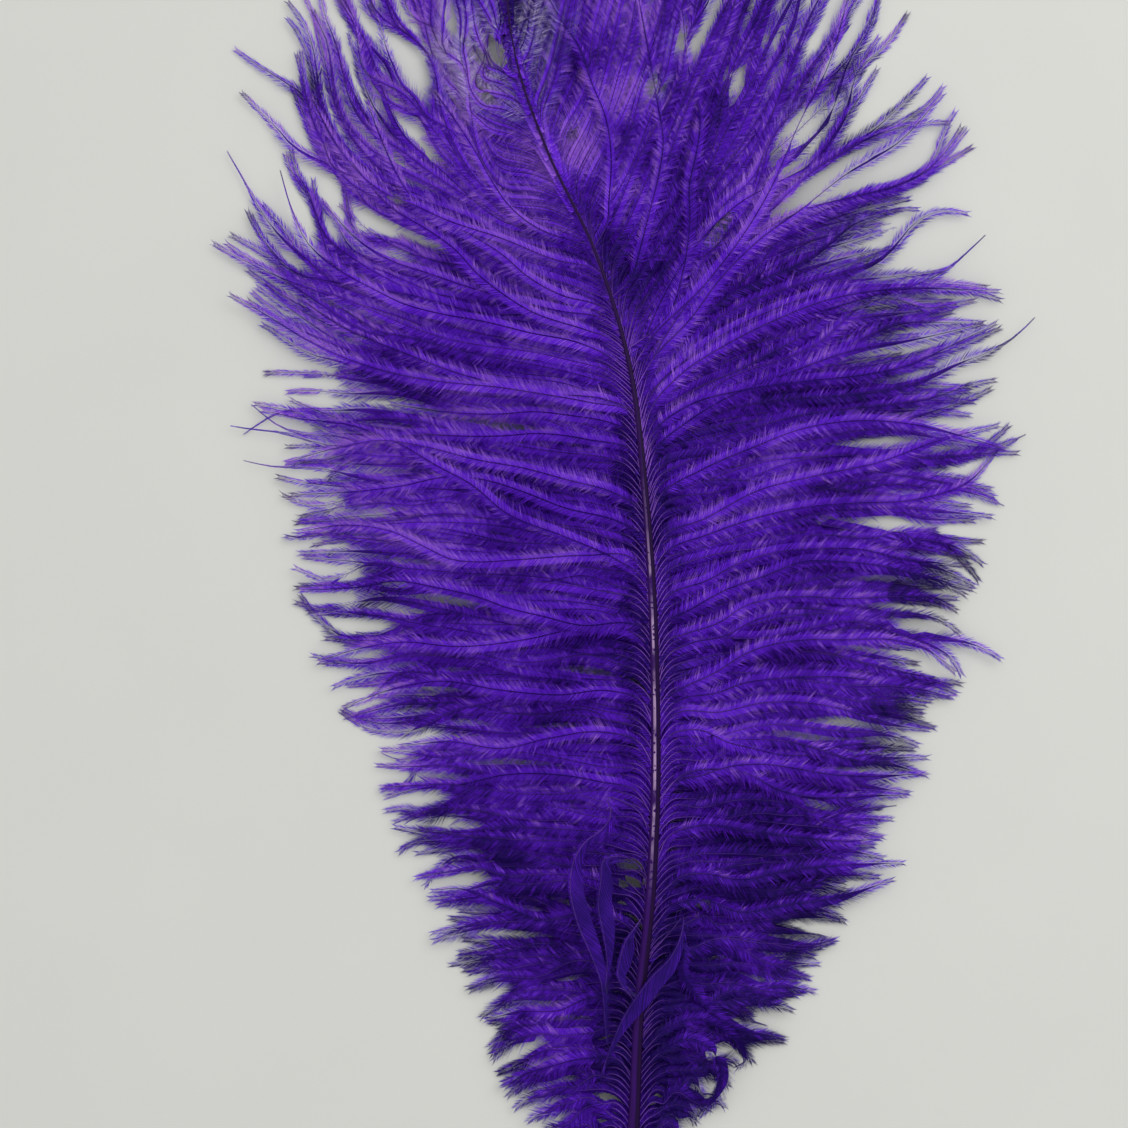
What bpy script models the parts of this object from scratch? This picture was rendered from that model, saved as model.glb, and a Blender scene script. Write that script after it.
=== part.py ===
"""Ostrich plume lying on a flat surface: a bowed shaft and two vanes of tapering locks, grown as one piece.

+Y runs from the quill to the tip, +X is to the right seen from above, and Z = 0 is the surface under the
plume. Tables and dimensions are in millimetres, and the mesh is scaled to metres as it is made.

Each vane is one sheet near the shaft. Outwards it splits into locks, which taper and droop to the surface.
A lock runs along a cubic from its root on the shaft to its tip, with a ridge along its middle, and valleys
between it and its neighbours where they are still joined.
"""
import bmesh
import bpy
import numpy as np

MM = 0.001

# The shaft's axis: x, y, height above the surface, and half its width.
SHAFT = np.array([
    (0.1, -190.0, 1.3, 1.3),
    (0.5, -185.0, 1.9, 1.9),
    (1.3, -170.0, 1.9, 1.9),
    (2.2, -152.0, 3.2, 1.75),
    (3.6, -122.0, 7.2, 1.6),
    (5.9, -99.0, 10.2, 1.5),
    (7.0, -76.0, 12.6, 1.4),
    (7.0, -53.0, 14.4, 1.25),
    (6.3, -30.0, 15.5, 1.15),
    (4.7, -7.0, 16.0, 1.0),
    (1.3, 25.0, 15.0, 0.65),
    (-4.5, 49.0, 13.2, 0.5),
    (-14.8, 73.0, 10.8, 0.45),
    (-24.0, 94.0, 8.4, 0.4),
    (-26.3, 108.0, 6.8, 0.4),
    (-25.0, 126.0, 5.0, 0.4),
])
VANE_START = 0.082       # where the lowest locks grow, as a share of the shaft's length
QUILL_RINGS = (0.0, 0.016, 0.05)  # the bare quill's rings, as shares of the shaft's length

# Tips of the locks on each side, from the quill upwards: x and y.
LEFT_TIPS = np.array([
    (-18, -162), (-25, -152), (-29, -142), (-32, -133), (-35, -122), (-40, -115), (-44, -107), (-47, -96),
    (-52, -88), (-56, -76), (-63, -64), (-68, -53), (-72, -43), (-76, -31), (-77, -20), (-78, -12),
    (-82, -3), (-88, 7), (-84, 19), (-95, 36), (-93, 45), (-94, 54), (-92, 68), (-87, 82),
    (-78, 103), (-75, 119), (-70, 132), (-64, 145), (-57, 156), (-50, 166), (-43, 176), (-35, 183),
], float)
RIGHT_TIPS = np.array([
    (15, -161), (21, -150), (26, -141), (37, -132), (45, -122), (49, -111), (55, -103), (65, -93),
    (62, -85), (69, -74), (74, -61), (78, -50), (83, -42), (79, -31), (83, -21), (88, -11),
    (95, 1), (91, 10), (86, 22), (93, 33), (88, 42), (80, 60), (74, 85), (61, 108),
    (44, 127), (27, 142), (13, 155), (2, 165), (-6, 173), (-13, 180), (-18, 185), (-24, 190),
], float)
LOCKS = len(LEFT_TIPS)

# How locks lie, at even steps from the quill to the tip. Angles are from +X, or from -X on the left side.
LEAVE_ANGLE = (48, 46, 44, 44, 44, 46, 50, 50, 40)      # between the shaft and a lock that leaves it
LEFT_ARRIVAL = (-40, -28, -6, 2, 4, 12, 58, 66, 75)      # rise of a lock as it ends at its tip
RIGHT_ARRIVAL = (-55, -25, -10, -16, -10, 5, 66, 92, 98)
LEAVE_REACH = 0.13       # length of a cubic's first handle, as a share of the way to the tip
ARRIVAL_REACH = 0.4      # and of its last handle

# Stations along a lock, from root to tip, and the lock's ridge and edge thickness at each.
STATIONS = np.array((0.0, 0.05, 0.13, 0.25, 0.39, 0.53, 0.66, 0.78, 0.90, 1.0))
RIDGE = np.array((0.0, 1.8, 2.6, 3.2, 3.6, 3.6, 3.2, 2.6, 1.9, 1.2))
EDGE = np.array((0.0, 1.2, 1.2, 1.1, 1.0, 0.9, 0.9, 0.8, 0.8, 0.8))
SPLITS = (5, 6, 4, 6, 5, 7, 4, 5, 6, 5)  # the station where two neighbours part, repeated up the vane
TOP_SPLITS = (3, 4, 3, 5)                # and near the tip, where the vane is looser
TOP_FROM = 23                            # the first lock of that looser part
LIFTS = (0.0, 2.0, 0.0, 3.5, 1.0)        # height of the tips above the surface, repeated up the vane
ARCH = 3.0               # rise of a lock's middle over a plain droop
TAPER = 0.8              # power of the narrowing past a split
TIP_WIDTH = 0.13         # a tip's width as a share of the lock's full width


def smooth_curve(knots, share):
    """Cubic Hermite curve through the knots, read at shares of its length, with slopes from the chords."""
    chords = np.linalg.norm(np.diff(knots[:, :3], axis=0), axis=1)
    at = np.concatenate([[0.0], np.cumsum(chords)])
    slopes = np.gradient(knots, at, axis=0)
    wanted = np.asarray(share) * at[-1]
    i = np.clip(np.searchsorted(at, wanted, side="right") - 1, 0, len(chords) - 1)
    gap = (at[i + 1] - at[i])[:, None]
    u = (wanted - at[i])[:, None] / gap
    start = knots[i] * (1 + 2 * u) + slopes[i] * gap * u
    end = knots[i + 1] * (3 - 2 * u) + slopes[i + 1] * gap * (u - 1)
    return start * (1 - u) ** 2 + end * u ** 2


def read_steps(values, share):
    """Values given at even steps from 0 to 1, read in between."""
    return np.interp(share, np.linspace(0, 1, len(values)), values)


def direction(degrees):
    """Unit vectors in the plane at these angles from +X."""
    angle = np.radians(degrees)
    return np.stack([np.cos(angle), np.sin(angle)], -1)


def vane_share(share):
    """Places along the vane, 0 to 1, as shares of the whole shaft's length."""
    return VANE_START + (1 - VANE_START) * share


def lock_axes(side):
    """The locks' centre lines, as points of locks by stations: x, y and the height of the underside."""
    share = (np.arange(LOCKS) + 0.5) / LOCKS
    root = smooth_curve(SHAFT, vane_share(share))
    ahead = smooth_curve(SHAFT, vane_share(share) + 0.002)
    heading = np.degrees(np.arctan2(ahead[:, 1] - root[:, 1], ahead[:, 0] - root[:, 0]))
    leave = direction(heading - side * read_steps(LEAVE_ANGLE, share))
    if side < 0:
        tip = LEFT_TIPS
        arrive = direction(180 - read_steps(LEFT_ARRIVAL, share))
    else:
        tip = RIGHT_TIPS
        arrive = direction(read_steps(RIGHT_ARRIVAL, share))
    reach = np.linalg.norm(tip - root[:, :2], axis=1)[:, None]
    first = root[:, :2] + leave * reach * LEAVE_REACH
    last = tip - arrive * reach * ARRIVAL_REACH
    t = STATIONS[None, :, None]
    flat = (root[:, None, :2] * (1 - t) ** 3 + first[:, None] * 3 * t * (1 - t) ** 2
            + last[:, None] * 3 * t ** 2 * (1 - t) + tip[:, None] * t ** 3)
    lift = np.resize(LIFTS, LOCKS)[:, None]
    drop = np.minimum(STATIONS / STATIONS[-2], 1)[None]
    start = root[:, 2:3] - root[:, 3:4]
    height = lift + (start - lift) * (1 - drop ** 1.6) + ARCH * np.sin(np.pi * drop) * (1 - drop / 2)
    return np.concatenate([flat, height[:, :, None]], 2)


def split_stations():
    """The station at which each lock parts from the one below it. The outermost edges are free throughout."""
    splits = np.resize(SPLITS, LOCKS + 1)
    splits[TOP_FROM:] = np.resize(TOP_SPLITS, LOCKS + 1 - TOP_FROM)
    splits[0] = splits[-1] = 0
    return splits


class Plume:
    """Collects the vertices and faces of the plume as its shaft and locks are laid out."""

    def __init__(self):
        self.points = []
        self.faces = []
        self.shaft_faces = 0

    def point(self, x, y, z):
        self.points.append((x, y, z))
        return len(self.points) - 1

    def ring(self, x, y, z, half, tangent):
        """Eight corners around the shaft, across its heading, from upper left clockwise."""
        across = np.array((tangent[1], -tangent[0])) / np.hypot(*tangent[:2])
        corners = ((-0.5, 1), (0.5, 1), (1, 0.5), (1, -0.5), (0.5, -1), (-0.5, -1), (-1, -0.5), (-1, 0.5))
        return [self.point(x + across[0] * a * half, y + across[1] * a * half, z + b * half)
                for a, b in corners]

    def shaft(self):
        """The shaft's rings and faces. Its sides stay open along the vanes. Gives the vane's rings."""
        rows = np.concatenate([QUILL_RINGS, vane_share(np.arange(2 * LOCKS + 1) / (2 * LOCKS))])
        axis = smooth_curve(SHAFT, rows)
        quill = slice(0, len(QUILL_RINGS))
        axis[quill, 2] = axis[quill, 3]  # it lies flat on the surface
        tangents = smooth_curve(SHAFT, rows + 0.002) - smooth_curve(SHAFT, rows - 0.002)
        rings = [self.ring(*place, tangent) for place, tangent in zip(axis, tangents)]
        right_side, left_side = 2, 6
        for k in range(len(rings) - 1):
            for corner in range(8):
                if k >= len(QUILL_RINGS) and corner in (right_side, left_side):
                    continue
                after = (corner + 1) % 8
                near, far = rings[k], rings[k + 1]
                self.faces.append((near[corner], near[after], far[after], far[corner]))
        self.faces.append(rings[0][::-1])
        self.faces.append(rings[-1])
        self.shaft_faces = len(self.faces)
        return rings[len(QUILL_RINGS):]

    def line(self, upper, lower, flat, underside, thickness):
        """A line of top and bottom points along a lock, after the pair on the shaft."""
        tops, bottoms = [upper], [lower]
        for (x, y), z, thick in zip(flat[1:], underside[1:], thickness[1:]):
            tops.append(self.point(x, y, z + thick))
            bottoms.append(self.point(x, y, z))
        return tops, bottoms

    def vane(self, side, rings):
        """One vane: every lock's middle, its two edges, and the walls past the splits."""
        axes = lock_axes(side)
        splits = split_stations()
        upper, lower = (2, 3) if side > 0 else (7, 6)
        between = (axes[:-1] + axes[1:]) / 2
        first = 1.5 * axes[:1] - 0.5 * axes[1:2]
        last = 1.5 * axes[-1:] - 0.5 * axes[-2:-1]
        valleys = np.concatenate([first, between, last])
        shared = [self.line(ring[upper], ring[lower], valley[:split + 1, :2], valley[:split + 1, 2], EDGE)
                  for ring, valley, split in zip(rings[::2], valleys, splits)]
        for i, axis in enumerate(axes):
            root = rings[2 * i + 1]
            middle = self.line(root[upper], root[lower], axis[:, :2], axis[:, 2], RIDGE)
            edges = [self.free_edge(shared[b], splits[b], axis, valleys[b]) for b in (i, i + 1)]
            self.lock(edges[0], middle, edges[1], splits[i], splits[i + 1])

    def free_edge(self, shared, split, axis, valley):
        """A lock's edge: the shared valley up to the split, then its own line, drawing in to the tip."""
        tops, bottoms = list(shared[0]), list(shared[1])
        past = (1 - STATIONS) / (1 - STATIONS[split])
        width = TIP_WIDTH + (1 - TIP_WIDTH) * past ** TAPER
        for j in range(split + 1, len(STATIONS)):
            x, y = axis[j, :2] + (valley[j, :2] - axis[j, :2]) * width[j]
            tops.append(self.point(x, y, axis[j, 2] + EDGE[j]))
            bottoms.append(self.point(x, y, axis[j, 2]))
        return tops, bottoms

    def lock(self, below, middle, above, split_below, split_above):
        """Faces of one lock between its two edges: top, underside, walls past the splits, and the end."""
        for j in range(len(STATIONS) - 1):
            for layer in (0, 1):
                for a, b in ((below[layer], middle[layer]), (middle[layer], above[layer])):
                    self.faces.append((a[j], a[j + 1], b[j + 1], b[j]))
            for (tops, bottoms), split in ((below, split_below), (above, split_above)):
                if j >= split:
                    self.faces.append((tops[j], tops[j + 1], bottoms[j + 1], bottoms[j]))
        ends = [below[0][-1], middle[0][-1], above[0][-1], above[1][-1], middle[1][-1], below[1][-1]]
        self.faces.append(ends)


def principled(name, colour, roughness):
    """A plain surface with this colour and roughness."""
    material = bpy.data.materials.new(name)
    material.use_nodes = True
    shader = material.node_tree.nodes["Principled BSDF"]
    shader.inputs["Base Color"].default_value = (*colour, 1)
    shader.inputs["Roughness"].default_value = roughness
    return material


def make_feather():
    """The plume as one closed object: the shaft's faces in the quill material and the rest in the barbs'."""
    plume = Plume()
    rings = plume.shaft()
    plume.vane(-1, rings)
    plume.vane(1, rings)
    mesh = bpy.data.meshes.new("feather")
    mesh.from_pydata([tuple(MM * c for c in point) for point in plume.points], [], plume.faces)
    mesh.materials.append(principled("barbs", (0.055, 0.012, 0.32), 0.6))
    mesh.materials.append(principled("quill", (0.05, 0.008, 0.12), 0.35))
    for face in mesh.polygons[:plume.shaft_faces]:
        face.material_index = 1
    shape = bmesh.new()
    shape.from_mesh(mesh)
    bmesh.ops.recalc_face_normals(shape, faces=shape.faces)
    bmesh.ops.triangulate(shape, faces=shape.faces)
    shape.to_mesh(mesh)
    shape.free()
    mesh.validate()
    feather = bpy.data.objects.new("feather", mesh)
    bpy.context.scene.collection.objects.link(feather)


for leftover in list(bpy.data.objects):
    bpy.data.objects.remove(leftover, do_unlink=True)
make_feather()
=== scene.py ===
"""An ostrich plume that lies on a pale surface: its shaft, its barbs and their barbules, as mesh.

+Y runs from the quill to the plume's tip, +X is to the right seen from above, and Z = 0 is the surface.
Lists and curves are in millimetres, and make_mesh brings them to metres.
"""
import functools
import math

import bpy
import numpy as np
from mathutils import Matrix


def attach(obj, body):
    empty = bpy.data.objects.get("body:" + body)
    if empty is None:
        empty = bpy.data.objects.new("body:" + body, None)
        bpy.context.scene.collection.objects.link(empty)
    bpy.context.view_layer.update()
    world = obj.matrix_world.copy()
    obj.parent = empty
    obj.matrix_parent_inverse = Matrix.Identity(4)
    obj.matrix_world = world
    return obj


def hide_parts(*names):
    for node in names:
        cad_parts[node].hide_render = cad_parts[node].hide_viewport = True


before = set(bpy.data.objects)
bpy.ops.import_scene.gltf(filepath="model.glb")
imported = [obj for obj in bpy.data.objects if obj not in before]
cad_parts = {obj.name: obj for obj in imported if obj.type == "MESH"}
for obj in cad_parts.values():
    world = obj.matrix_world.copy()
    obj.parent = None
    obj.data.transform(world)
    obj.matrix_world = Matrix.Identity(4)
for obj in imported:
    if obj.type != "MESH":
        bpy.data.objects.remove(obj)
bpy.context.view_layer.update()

bl_info = {
    "name": "Ostrich plume",
    "version": (1, 0, 0),
    "blender": (4, 5, 0),
    "location": "3D View > Sidebar > Plume",
    "description": "Grows the barbs and barbules of an ostrich plume around its shaft",
    "category": "Object",
}

MM = 0.001
NODE = "feather"
BODY = "root"
SEED = 41
SIDES = ((-1, "left"), (1, "right"))

# ---------------------------------------------------------------- the shaft

# Its centre line from the quill's end to its tip: x, y, height and half width.
SHAFT = np.array([
    (0.1, -190.0, 1.3, 1.3), (0.5, -185.0, 1.9, 1.9), (1.3, -170.0, 1.9, 1.9), (2.2, -152.0, 3.2, 1.75),
    (3.6, -122.0, 7.2, 1.6), (5.9, -99.0, 10.2, 1.5), (7.0, -76.0, 12.6, 1.4), (7.0, -53.0, 14.4, 1.25),
    (6.3, -30.0, 15.5, 1.15), (4.7, -7.0, 16.0, 1.0), (0.7, 25.0, 15.0, 0.65), (-6.6, 49.0, 13.2, 0.5),
    (-17.8, 73.0, 10.8, 0.45), (-24.9, 94.0, 8.4, 0.4), (-26.9, 108.0, 6.8, 0.4), (-25.0, 126.0, 5.0, 0.4),
])
# Drawn width over the solid's, at even steps.
SHAFT_SLIM = (0.95, 0.82, 0.74, 0.77, 0.82, 0.86, 0.85, 0.8, 0.72, 0.6, 0.52, 0.5)
SHAFT_RINGS, SHAFT_SIDES = 170, 24
SHAFT_ENDS = (0.25, 0.3)           # how far the quill's end and the tip stand out as points
# Its groove: depth over the radius, place in half turns from the right, and width in radians.
GROOVE = (0.16, 0.47, 0.3)

# ---------------------------------------------------------------- the vanes

VANE_START = 0.082                 # where the lowest barbs grow, as a share of the shaft's length
FLANK_OUT, FLANK_UP = 0.8, 0.1     # where they grow, out and up from its centre line, in half widths
STEPS = 42                         # points along a barb
STEP_POWER = 1.3                   # the points lie closer to the root, at even steps to this power

# How locks leave the shaft and reach their tips.
LEAVE_ANGLE = (75, 80, 80, 76, 70, 66, 60, 36, 24)  # degrees to the shaft once clear of it, up the vane
LEAVE_LESS = 12                    # how much less that is on the right, in degrees
LEAVE_REACH = 7.0                  # length of a lock's first handle
ARRIVAL_REACH = 0.4                # and of its last, as a share of the way to the tip
RISE = (2.6, 3.2, 3.4, 5, 4.5)     # how far a barb first climbs by the shaft, up the vane
RISE_REACH = 4.5                   # over what length it does
CREST = 5.5                        # how much further the upper left barbs climb by the shaft
CREST_HEIGHTS = (30, 55, 82, 90)   # heights between which that sets in, and between which it ends
CREST_RUN = (9, 26)                # how far out it is the most, and how far out it is gone

# How barbs keep to their locks.
CROWDED = (25, 65, 0.8)            # heights between which the barbs stand closer, and how much more
CROWD_FADE = 15                    # over what height that sets in and ends
SWEEP_WIDTH = 0.035                # share of the shaft over which the even sweep averages the locks
FILLERS = 0.42                     # share of the barbs that keep to the even sweep and close the vane
STRAYS = 0.1                       # share of the barbs that follow a neighbour's lock
LEAN = 2.5                         # spread of the barbs' turns, in degrees
LEAN_TAKEN = 0.35                  # the share of its turn that a barb takes
SCATTER = 0.9                      # spread of their ends
WISPY_FROM = (18, 45)              # heights between which the barbs begin to gather in narrow wisps
SQUEEZE = 2.0                      # width beside a parting into which its barbs draw together
BARB_MARGIN, FRINGE_MARGIN = 0.2, 0.3  # how much wider a parting is for barbs and for fringes

# How barbs lie.
ARCH = 0.7                         # rise of a barb's middle over a plain droop
LAYERS = 2.7                       # height over which barbs lie on each other
LAYER_DROP = 1.2                   # how far the lowest layer lies below that droop
GOLDEN = 0.618034                  # share of the layers from one barb to the next
LIFT, LIFT_UNDER, LIFT_OVER = (0.3, 2.4), (0.4, 1.5), (0.8, 3.5)  # least and greatest heights of tips
UNDER_LAYER, OVER_LAYER = 0.3, 1.12    # layers of the barbs added below and on top of the others
HANG_DROP = 15                     # a barb that ends this far below its root hangs along the shaft
HANG_OVER = 2.4                    # how high such a barb lies over the shaft's centre line
ROLL = (12, (6, 24), (0.5, 1.1), 30)   # spread and swing in degrees, turns of the swing in how much length

# How fringes grow.
FRINGE_FOOT = 0.42                 # width of the closed foot of a fringe over the fringe's length
THINNING = 0.05                    # share of the barbules that is missing near the tips
CLOSER = 0.35                      # how much closer they stand at a barb's tip, and wider at its root
TUFT = 3                           # barbules whose tips draw together
MOST_TUFTS = 1000                  # more than the tufts on a side of any barb
BARE_LISTED = 13                   # length of a bare tip on a long barb
BARE_LEAD, BARE_ANY = (11, 17), (2, 5)  # least and greatest lengths of bare tips on leading and other barbs
BARE_SHARE = 0.07                  # share of the other barbs that has one
GLEAM_PITCH = 2.2                  # length between places on a barb that may gleam
GLEAM_PLACES = 64

# The locks of each vane: the height along the shaft where a lock grows, its tip (x, y), and how its last
# stretch rises outwards, in degrees.
LEFT_LOCKS = np.array([
    (-163, -9, -164, -65), (-160, -13, -161, -58), (-157, -16, -158, -50), (-153, -19, -154, -45),
    (-150, -22, -151, -42), (-146, -25, -148, -45), (-143, -27, -145, -42), (-139, -28, -142, -20),
    (-136, -29, -140, -30), (-133, -30, -137, -40), (-129, -31, -135, -55), (-125, -31, -128, 5),
    (-122, -33, -127, -42), (-119, -36, -120, -15), (-115, -40, -115, -8), (-111, -44, -109, -20),
    (-108, -43, -101, -15), (-104, -45, -99, -8), (-101, -48, -95, -5), (-98, -47, -93, -35),
    (-95, -52, -89, -25), (-91, -53, -83, 12), (-87, -53, -82, -20), (-84, -55, -79, -12),
    (-81, -56, -75, -8), (-79, -56, -73, 8), (-75, -57, -69, 2), (-72, -56, -66, 0), (-68, -56, -63, 8),
    (-64, -65, -58, -20), (-61, -65, -55, 3), (-57, -67, -52, -30), (-54, -71, -45, -10),
    (-51, -72, -43, 5), (-47, -69, -38, 15), (-44, -73, -34, -25), (-41, -76, -31, 18), (-37, -76, -27, -8),
    (-33, -76, -19, 3), (-28, -77, -16, 5), (-24, -78, -14, -20), (-20, -79, -6, -5), (-16, -88, 2, 15),
    (-13, -78, 2, -20), (-10, -78, 6, 5), (-8.5, -91, 10, 12), (-6, -88, 8, -40), (-3, -86, 15, 30),
    (-1, -78, 17, -8), (2, -83, 22, 0), (6, -87, 39, 38), (7.5, -85, 42, 34), (10, -86, 41, 42),
    (12.5, -87, 46, 40), (15, -92, 52, 38), (17, -95, 52, 28), (19, -91, 54, 30), (20.5, -83, 58, 38),
    (92, -47, 165, 71), (100, -44, 170, 73), (108, -40, 176, 75), (116, -36, 181, 77), (124, -32, 185, 78),
], float)
RIGHT_LOCKS = np.array([
    (-163, 10, -167, -70), (-160, 12, -165, -64), (-157, 15, -160, -56), (-154, 17, -151, -50),
    (-151, 23, -148, -58), (-148, 21, -145, -40), (-145, 24, -143, -55), (-142, 26, -138, -50),
    (-139, 28, -136, -60), (-136, 37, -132, -12), (-133, 33, -129, -20), (-129, 39, -125, -25),
    (-125, 40, -122, -22), (-123, 44, -121, -10), (-119, 43, -118, -14), (-116, 45, -115, -5),
    (-113, 49, -108, 20), (-110, 51, -105, -30), (-107, 50, -101, -12), (-103, 52, -98, -15),
    (-100, 51, -96, -8), (-97, 55, -94, -20), (-94, 54, -91, -12), (-92, 60, -90, -15), (-89, 58, -87, -6),
    (-85, 60, -85, -10), (-82, 62, -81, -5), (-79, 63, -78, 6), (-76, 66, -75, -12), (-73, 70, -71, -20),
    (-70, 70, -67, 0), (-66, 68, -64, -22), (-64, 72, -60, -18), (-61, 69, -57, -8), (-58, 71, -54, -10),
    (-55, 76, -53, -15), (-53, 78, -50, 0), (-50, 77, -52, -25), (-47, 78, -48, -55), (-44, 87, -44, -35),
    (-41, 77, -33, -30), (-37, 79, -29, -35), (-34, 81, -27, -30), (-32, 83, -22, -42), (-30, 82, -26, -60),
    (-27, 83, -16, -10), (-25, 81, -14, -15), (-22, 85, -11, -10), (-19, 88, -8.5, -25),
    (-16, 85, -4.5, -15), (-13, 91, 3.5, -4), (-11, 93, 8, 26), (-9, 89, 10, 45), (-7, 87, 5, -10),
    (-6, 82, 10, -20), (-5, 85, 18, 25), (-4, 86, 19, 10), (-3, 87, 33, 24), (0, 95, 35, 48),
    (-1.5, 81, 29, 6), (2, 83, 34, -5), (5, 87, 39, -20), (7, 81, 39, 10), (22, 60, 112, 64),
    (24, 57, 118, 66), (27, 53, 126, 68), (30, 49, 133, 70), (33, 45, 138, 72), (36, 40, 143, 75),
    (40, 35, 147, 78), (44, 29, 151, 80), (48, 24, 155, 82), (52, 18, 158, 84), (57, 12, 162, 86),
    (62, 7, 165, 88), (68, 1, 169, 90), (74, -4, 173, 92), (80, -8, 176, 93), (87, -12, 179, 94),
    (95, -15, 182, 95), (103, -18, 185, 96), (112, -20, 187, 98), (122, -23, 188, 100),
], float)
# Tips without barbules.
BARE_TIPS = (
    (-91, 10), (-88, 8), (-88, 15), (-86, 15), (-88, 2), (-77, -16), (95, 35), (-75, 96), (-92, 73),
    (83.5, 54), (-79.5, 69),
)

# Locks whose routes show, from the shaft to the tip: x and y.
LEFT_ROUTES = (
    ((1.8, 21), (-8, 26.5), (-20, 30), (-34, 33), (-48, 36), (-60, 38.5), (-68, 41.5), (-75, 45.5),
     (-80.5, 50), (-84, 54.5), (-86, 59)),
    ((1.5, 23), (-14, 29.5), (-30, 33.5), (-45, 36.5), (-58, 38.5), (-67, 41), (-74, 45), (-79.5, 50),
     (-83, 55.5), (-85.5, 60.5), (-88.5, 67), (-92, 73.5)),
    ((1.3, 25), (-12, 32), (-26, 36.5), (-40, 40), (-52, 43.5), (-61, 47.5), (-67, 52), (-71, 57),
     (-74, 63), (-76, 69), (-77, 74)),
    ((0, 30), (-10, 35), (-24, 39), (-38, 42), (-50, 44.8), (-59, 48), (-65, 51.5), (-69, 56),
     (-71.5, 61.5), (-72, 67)),
    ((-0.5, 32), (-16, 38), (-30, 42.5), (-42, 45.5), (-52, 48.5), (-58, 51.5), (-62, 56), (-64.5, 61),
     (-66, 68)),
    ((-1.8, 37.5), (-3, 39.5), (-7, 41), (-14, 42.5), (-24, 45), (-34, 48.5), (-46, 53.8), (-55, 58.5),
     (-62, 64), (-67, 70.5), (-70, 77.5), (-73, 86), (-76, 96)),
    ((-2, 38.5), (-3.4, 40.6), (-8, 42.3), (-18, 45), (-32, 50.5), (-44, 55.5), (-54, 60.5), (-62, 65.5),
     (-68, 70), (-73, 72), (-77.5, 74.5), (-81, 78.5), (-85, 83), (-88.5, 87)),
    ((-2.2, 39.5), (-3.6, 41.6), (-8, 43.3), (-18, 46.5), (-34, 53), (-47, 58.5), (-57, 63), (-64.5, 68.5),
     (-69, 74), (-72, 80), (-74.5, 86), (-79, 89.5), (-85, 93.5), (-90, 97)),
    ((-2.6, 41), (-4, 43.2), (-9, 45), (-18, 48), (-32, 54), (-46, 60), (-56, 64.5), (-63.5, 69.5),
     (-68, 75), (-71, 81.5), (-73.5, 89), (-74.5, 96.5)),
    ((-3, 42.5), (-4.5, 44.8), (-9, 46.5), (-18, 49.8), (-32, 56.5), (-46, 62.5), (-56.5, 67.5),
     (-63.5, 73), (-67.5, 79), (-69.5, 85.5), (-70.5, 92), (-72, 98), (-74.5, 103.5), (-78, 108)),
    ((-3.3, 44), (-4.9, 46.4), (-10, 48), (-18, 51), (-31, 58.5), (-44, 64.5), (-54, 70), (-60.5, 75.5),
     (-64.5, 81), (-66.5, 87), (-67.5, 93.5), (-69, 99.5), (-71.5, 104.5), (-75, 111)),
    ((-3.7, 45.3), (-5.2, 47.8), (-10, 49.5), (-18, 53), (-28, 58.8), (-40, 65.5), (-49.5, 71), (-56, 76.5),
     (-60, 82), (-62.5, 87.5), (-64, 93.5), (-65, 99.5), (-67.5, 106), (-71, 115)),
    ((-4, 46.5), (-5.6, 49), (-10, 50.5), (-17, 53.5), (-26.5, 60), (-37, 67.5), (-45, 73), (-51, 79),
     (-54.5, 84.5), (-57.5, 90), (-60, 95.5), (-62.5, 101.5), (-66.5, 109), (-71, 119)),
    ((-4.3, 48), (-6, 50.4), (-10, 51.8), (-17, 55), (-25, 60.5), (-31.5, 66.5), (-38, 73), (-44.5, 80),
     (-49, 86), (-52.5, 90.5), (-56, 96), (-61, 103.5), (-66, 112), (-71, 122)),
    ((-5, 50.5), (-6.8, 53), (-11, 54.2), (-17.5, 56.5), (-24, 60.5), (-30, 67.5), (-36, 77), (-41, 86),
     (-44.5, 92), (-48, 97.5), (-52, 102.5), (-57.5, 108), (-62, 114), (-69, 126)),
    ((-6.4, 53.5), (-8, 56), (-12, 57), (-18, 58.8), (-24, 62.5), (-29.5, 69.5), (-35, 79.5), (-39.5, 87.5),
     (-43.5, 93.5), (-47.5, 99.5), (-51, 104), (-54.5, 109), (-59, 117), (-66, 130)),
    ((-8.3, 58), (-10, 60.5), (-14, 61.5), (-20, 63), (-25.5, 67), (-30, 74), (-34, 82.5), (-37.3, 90.5),
     (-40, 97.5), (-43.5, 103), (-47.5, 109), (-56, 121), (-64, 135)),
    ((-10.5, 63), (-12.5, 65.5), (-17, 66.7), (-23, 68.3), (-28, 73), (-31.5, 80), (-34.3, 87.5), (-37, 96),
     (-40, 104.5), (-43.5, 110), (-53, 125), (-62, 140)),
    ((-13, 69), (-15.2, 71.8), (-19.5, 73.6), (-24.5, 76.3), (-28.5, 81), (-31.8, 87.5), (-34, 94.5),
     (-36, 102), (-39, 112), (-50, 130), (-59, 146)),
    ((-16.2, 76), (-18.5, 79.2), (-22.5, 82), (-26, 85), (-29, 90), (-31.3, 96), (-33, 102.5), (-35, 110),
     (-38, 118), (-46, 135), (-55, 152)),
    ((-19.8, 84), (-22, 87), (-25, 90.5), (-27.5, 94), (-29.5, 98.5), (-31.5, 104), (-34, 114), (-42, 138),
     (-50, 159)),
)
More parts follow.
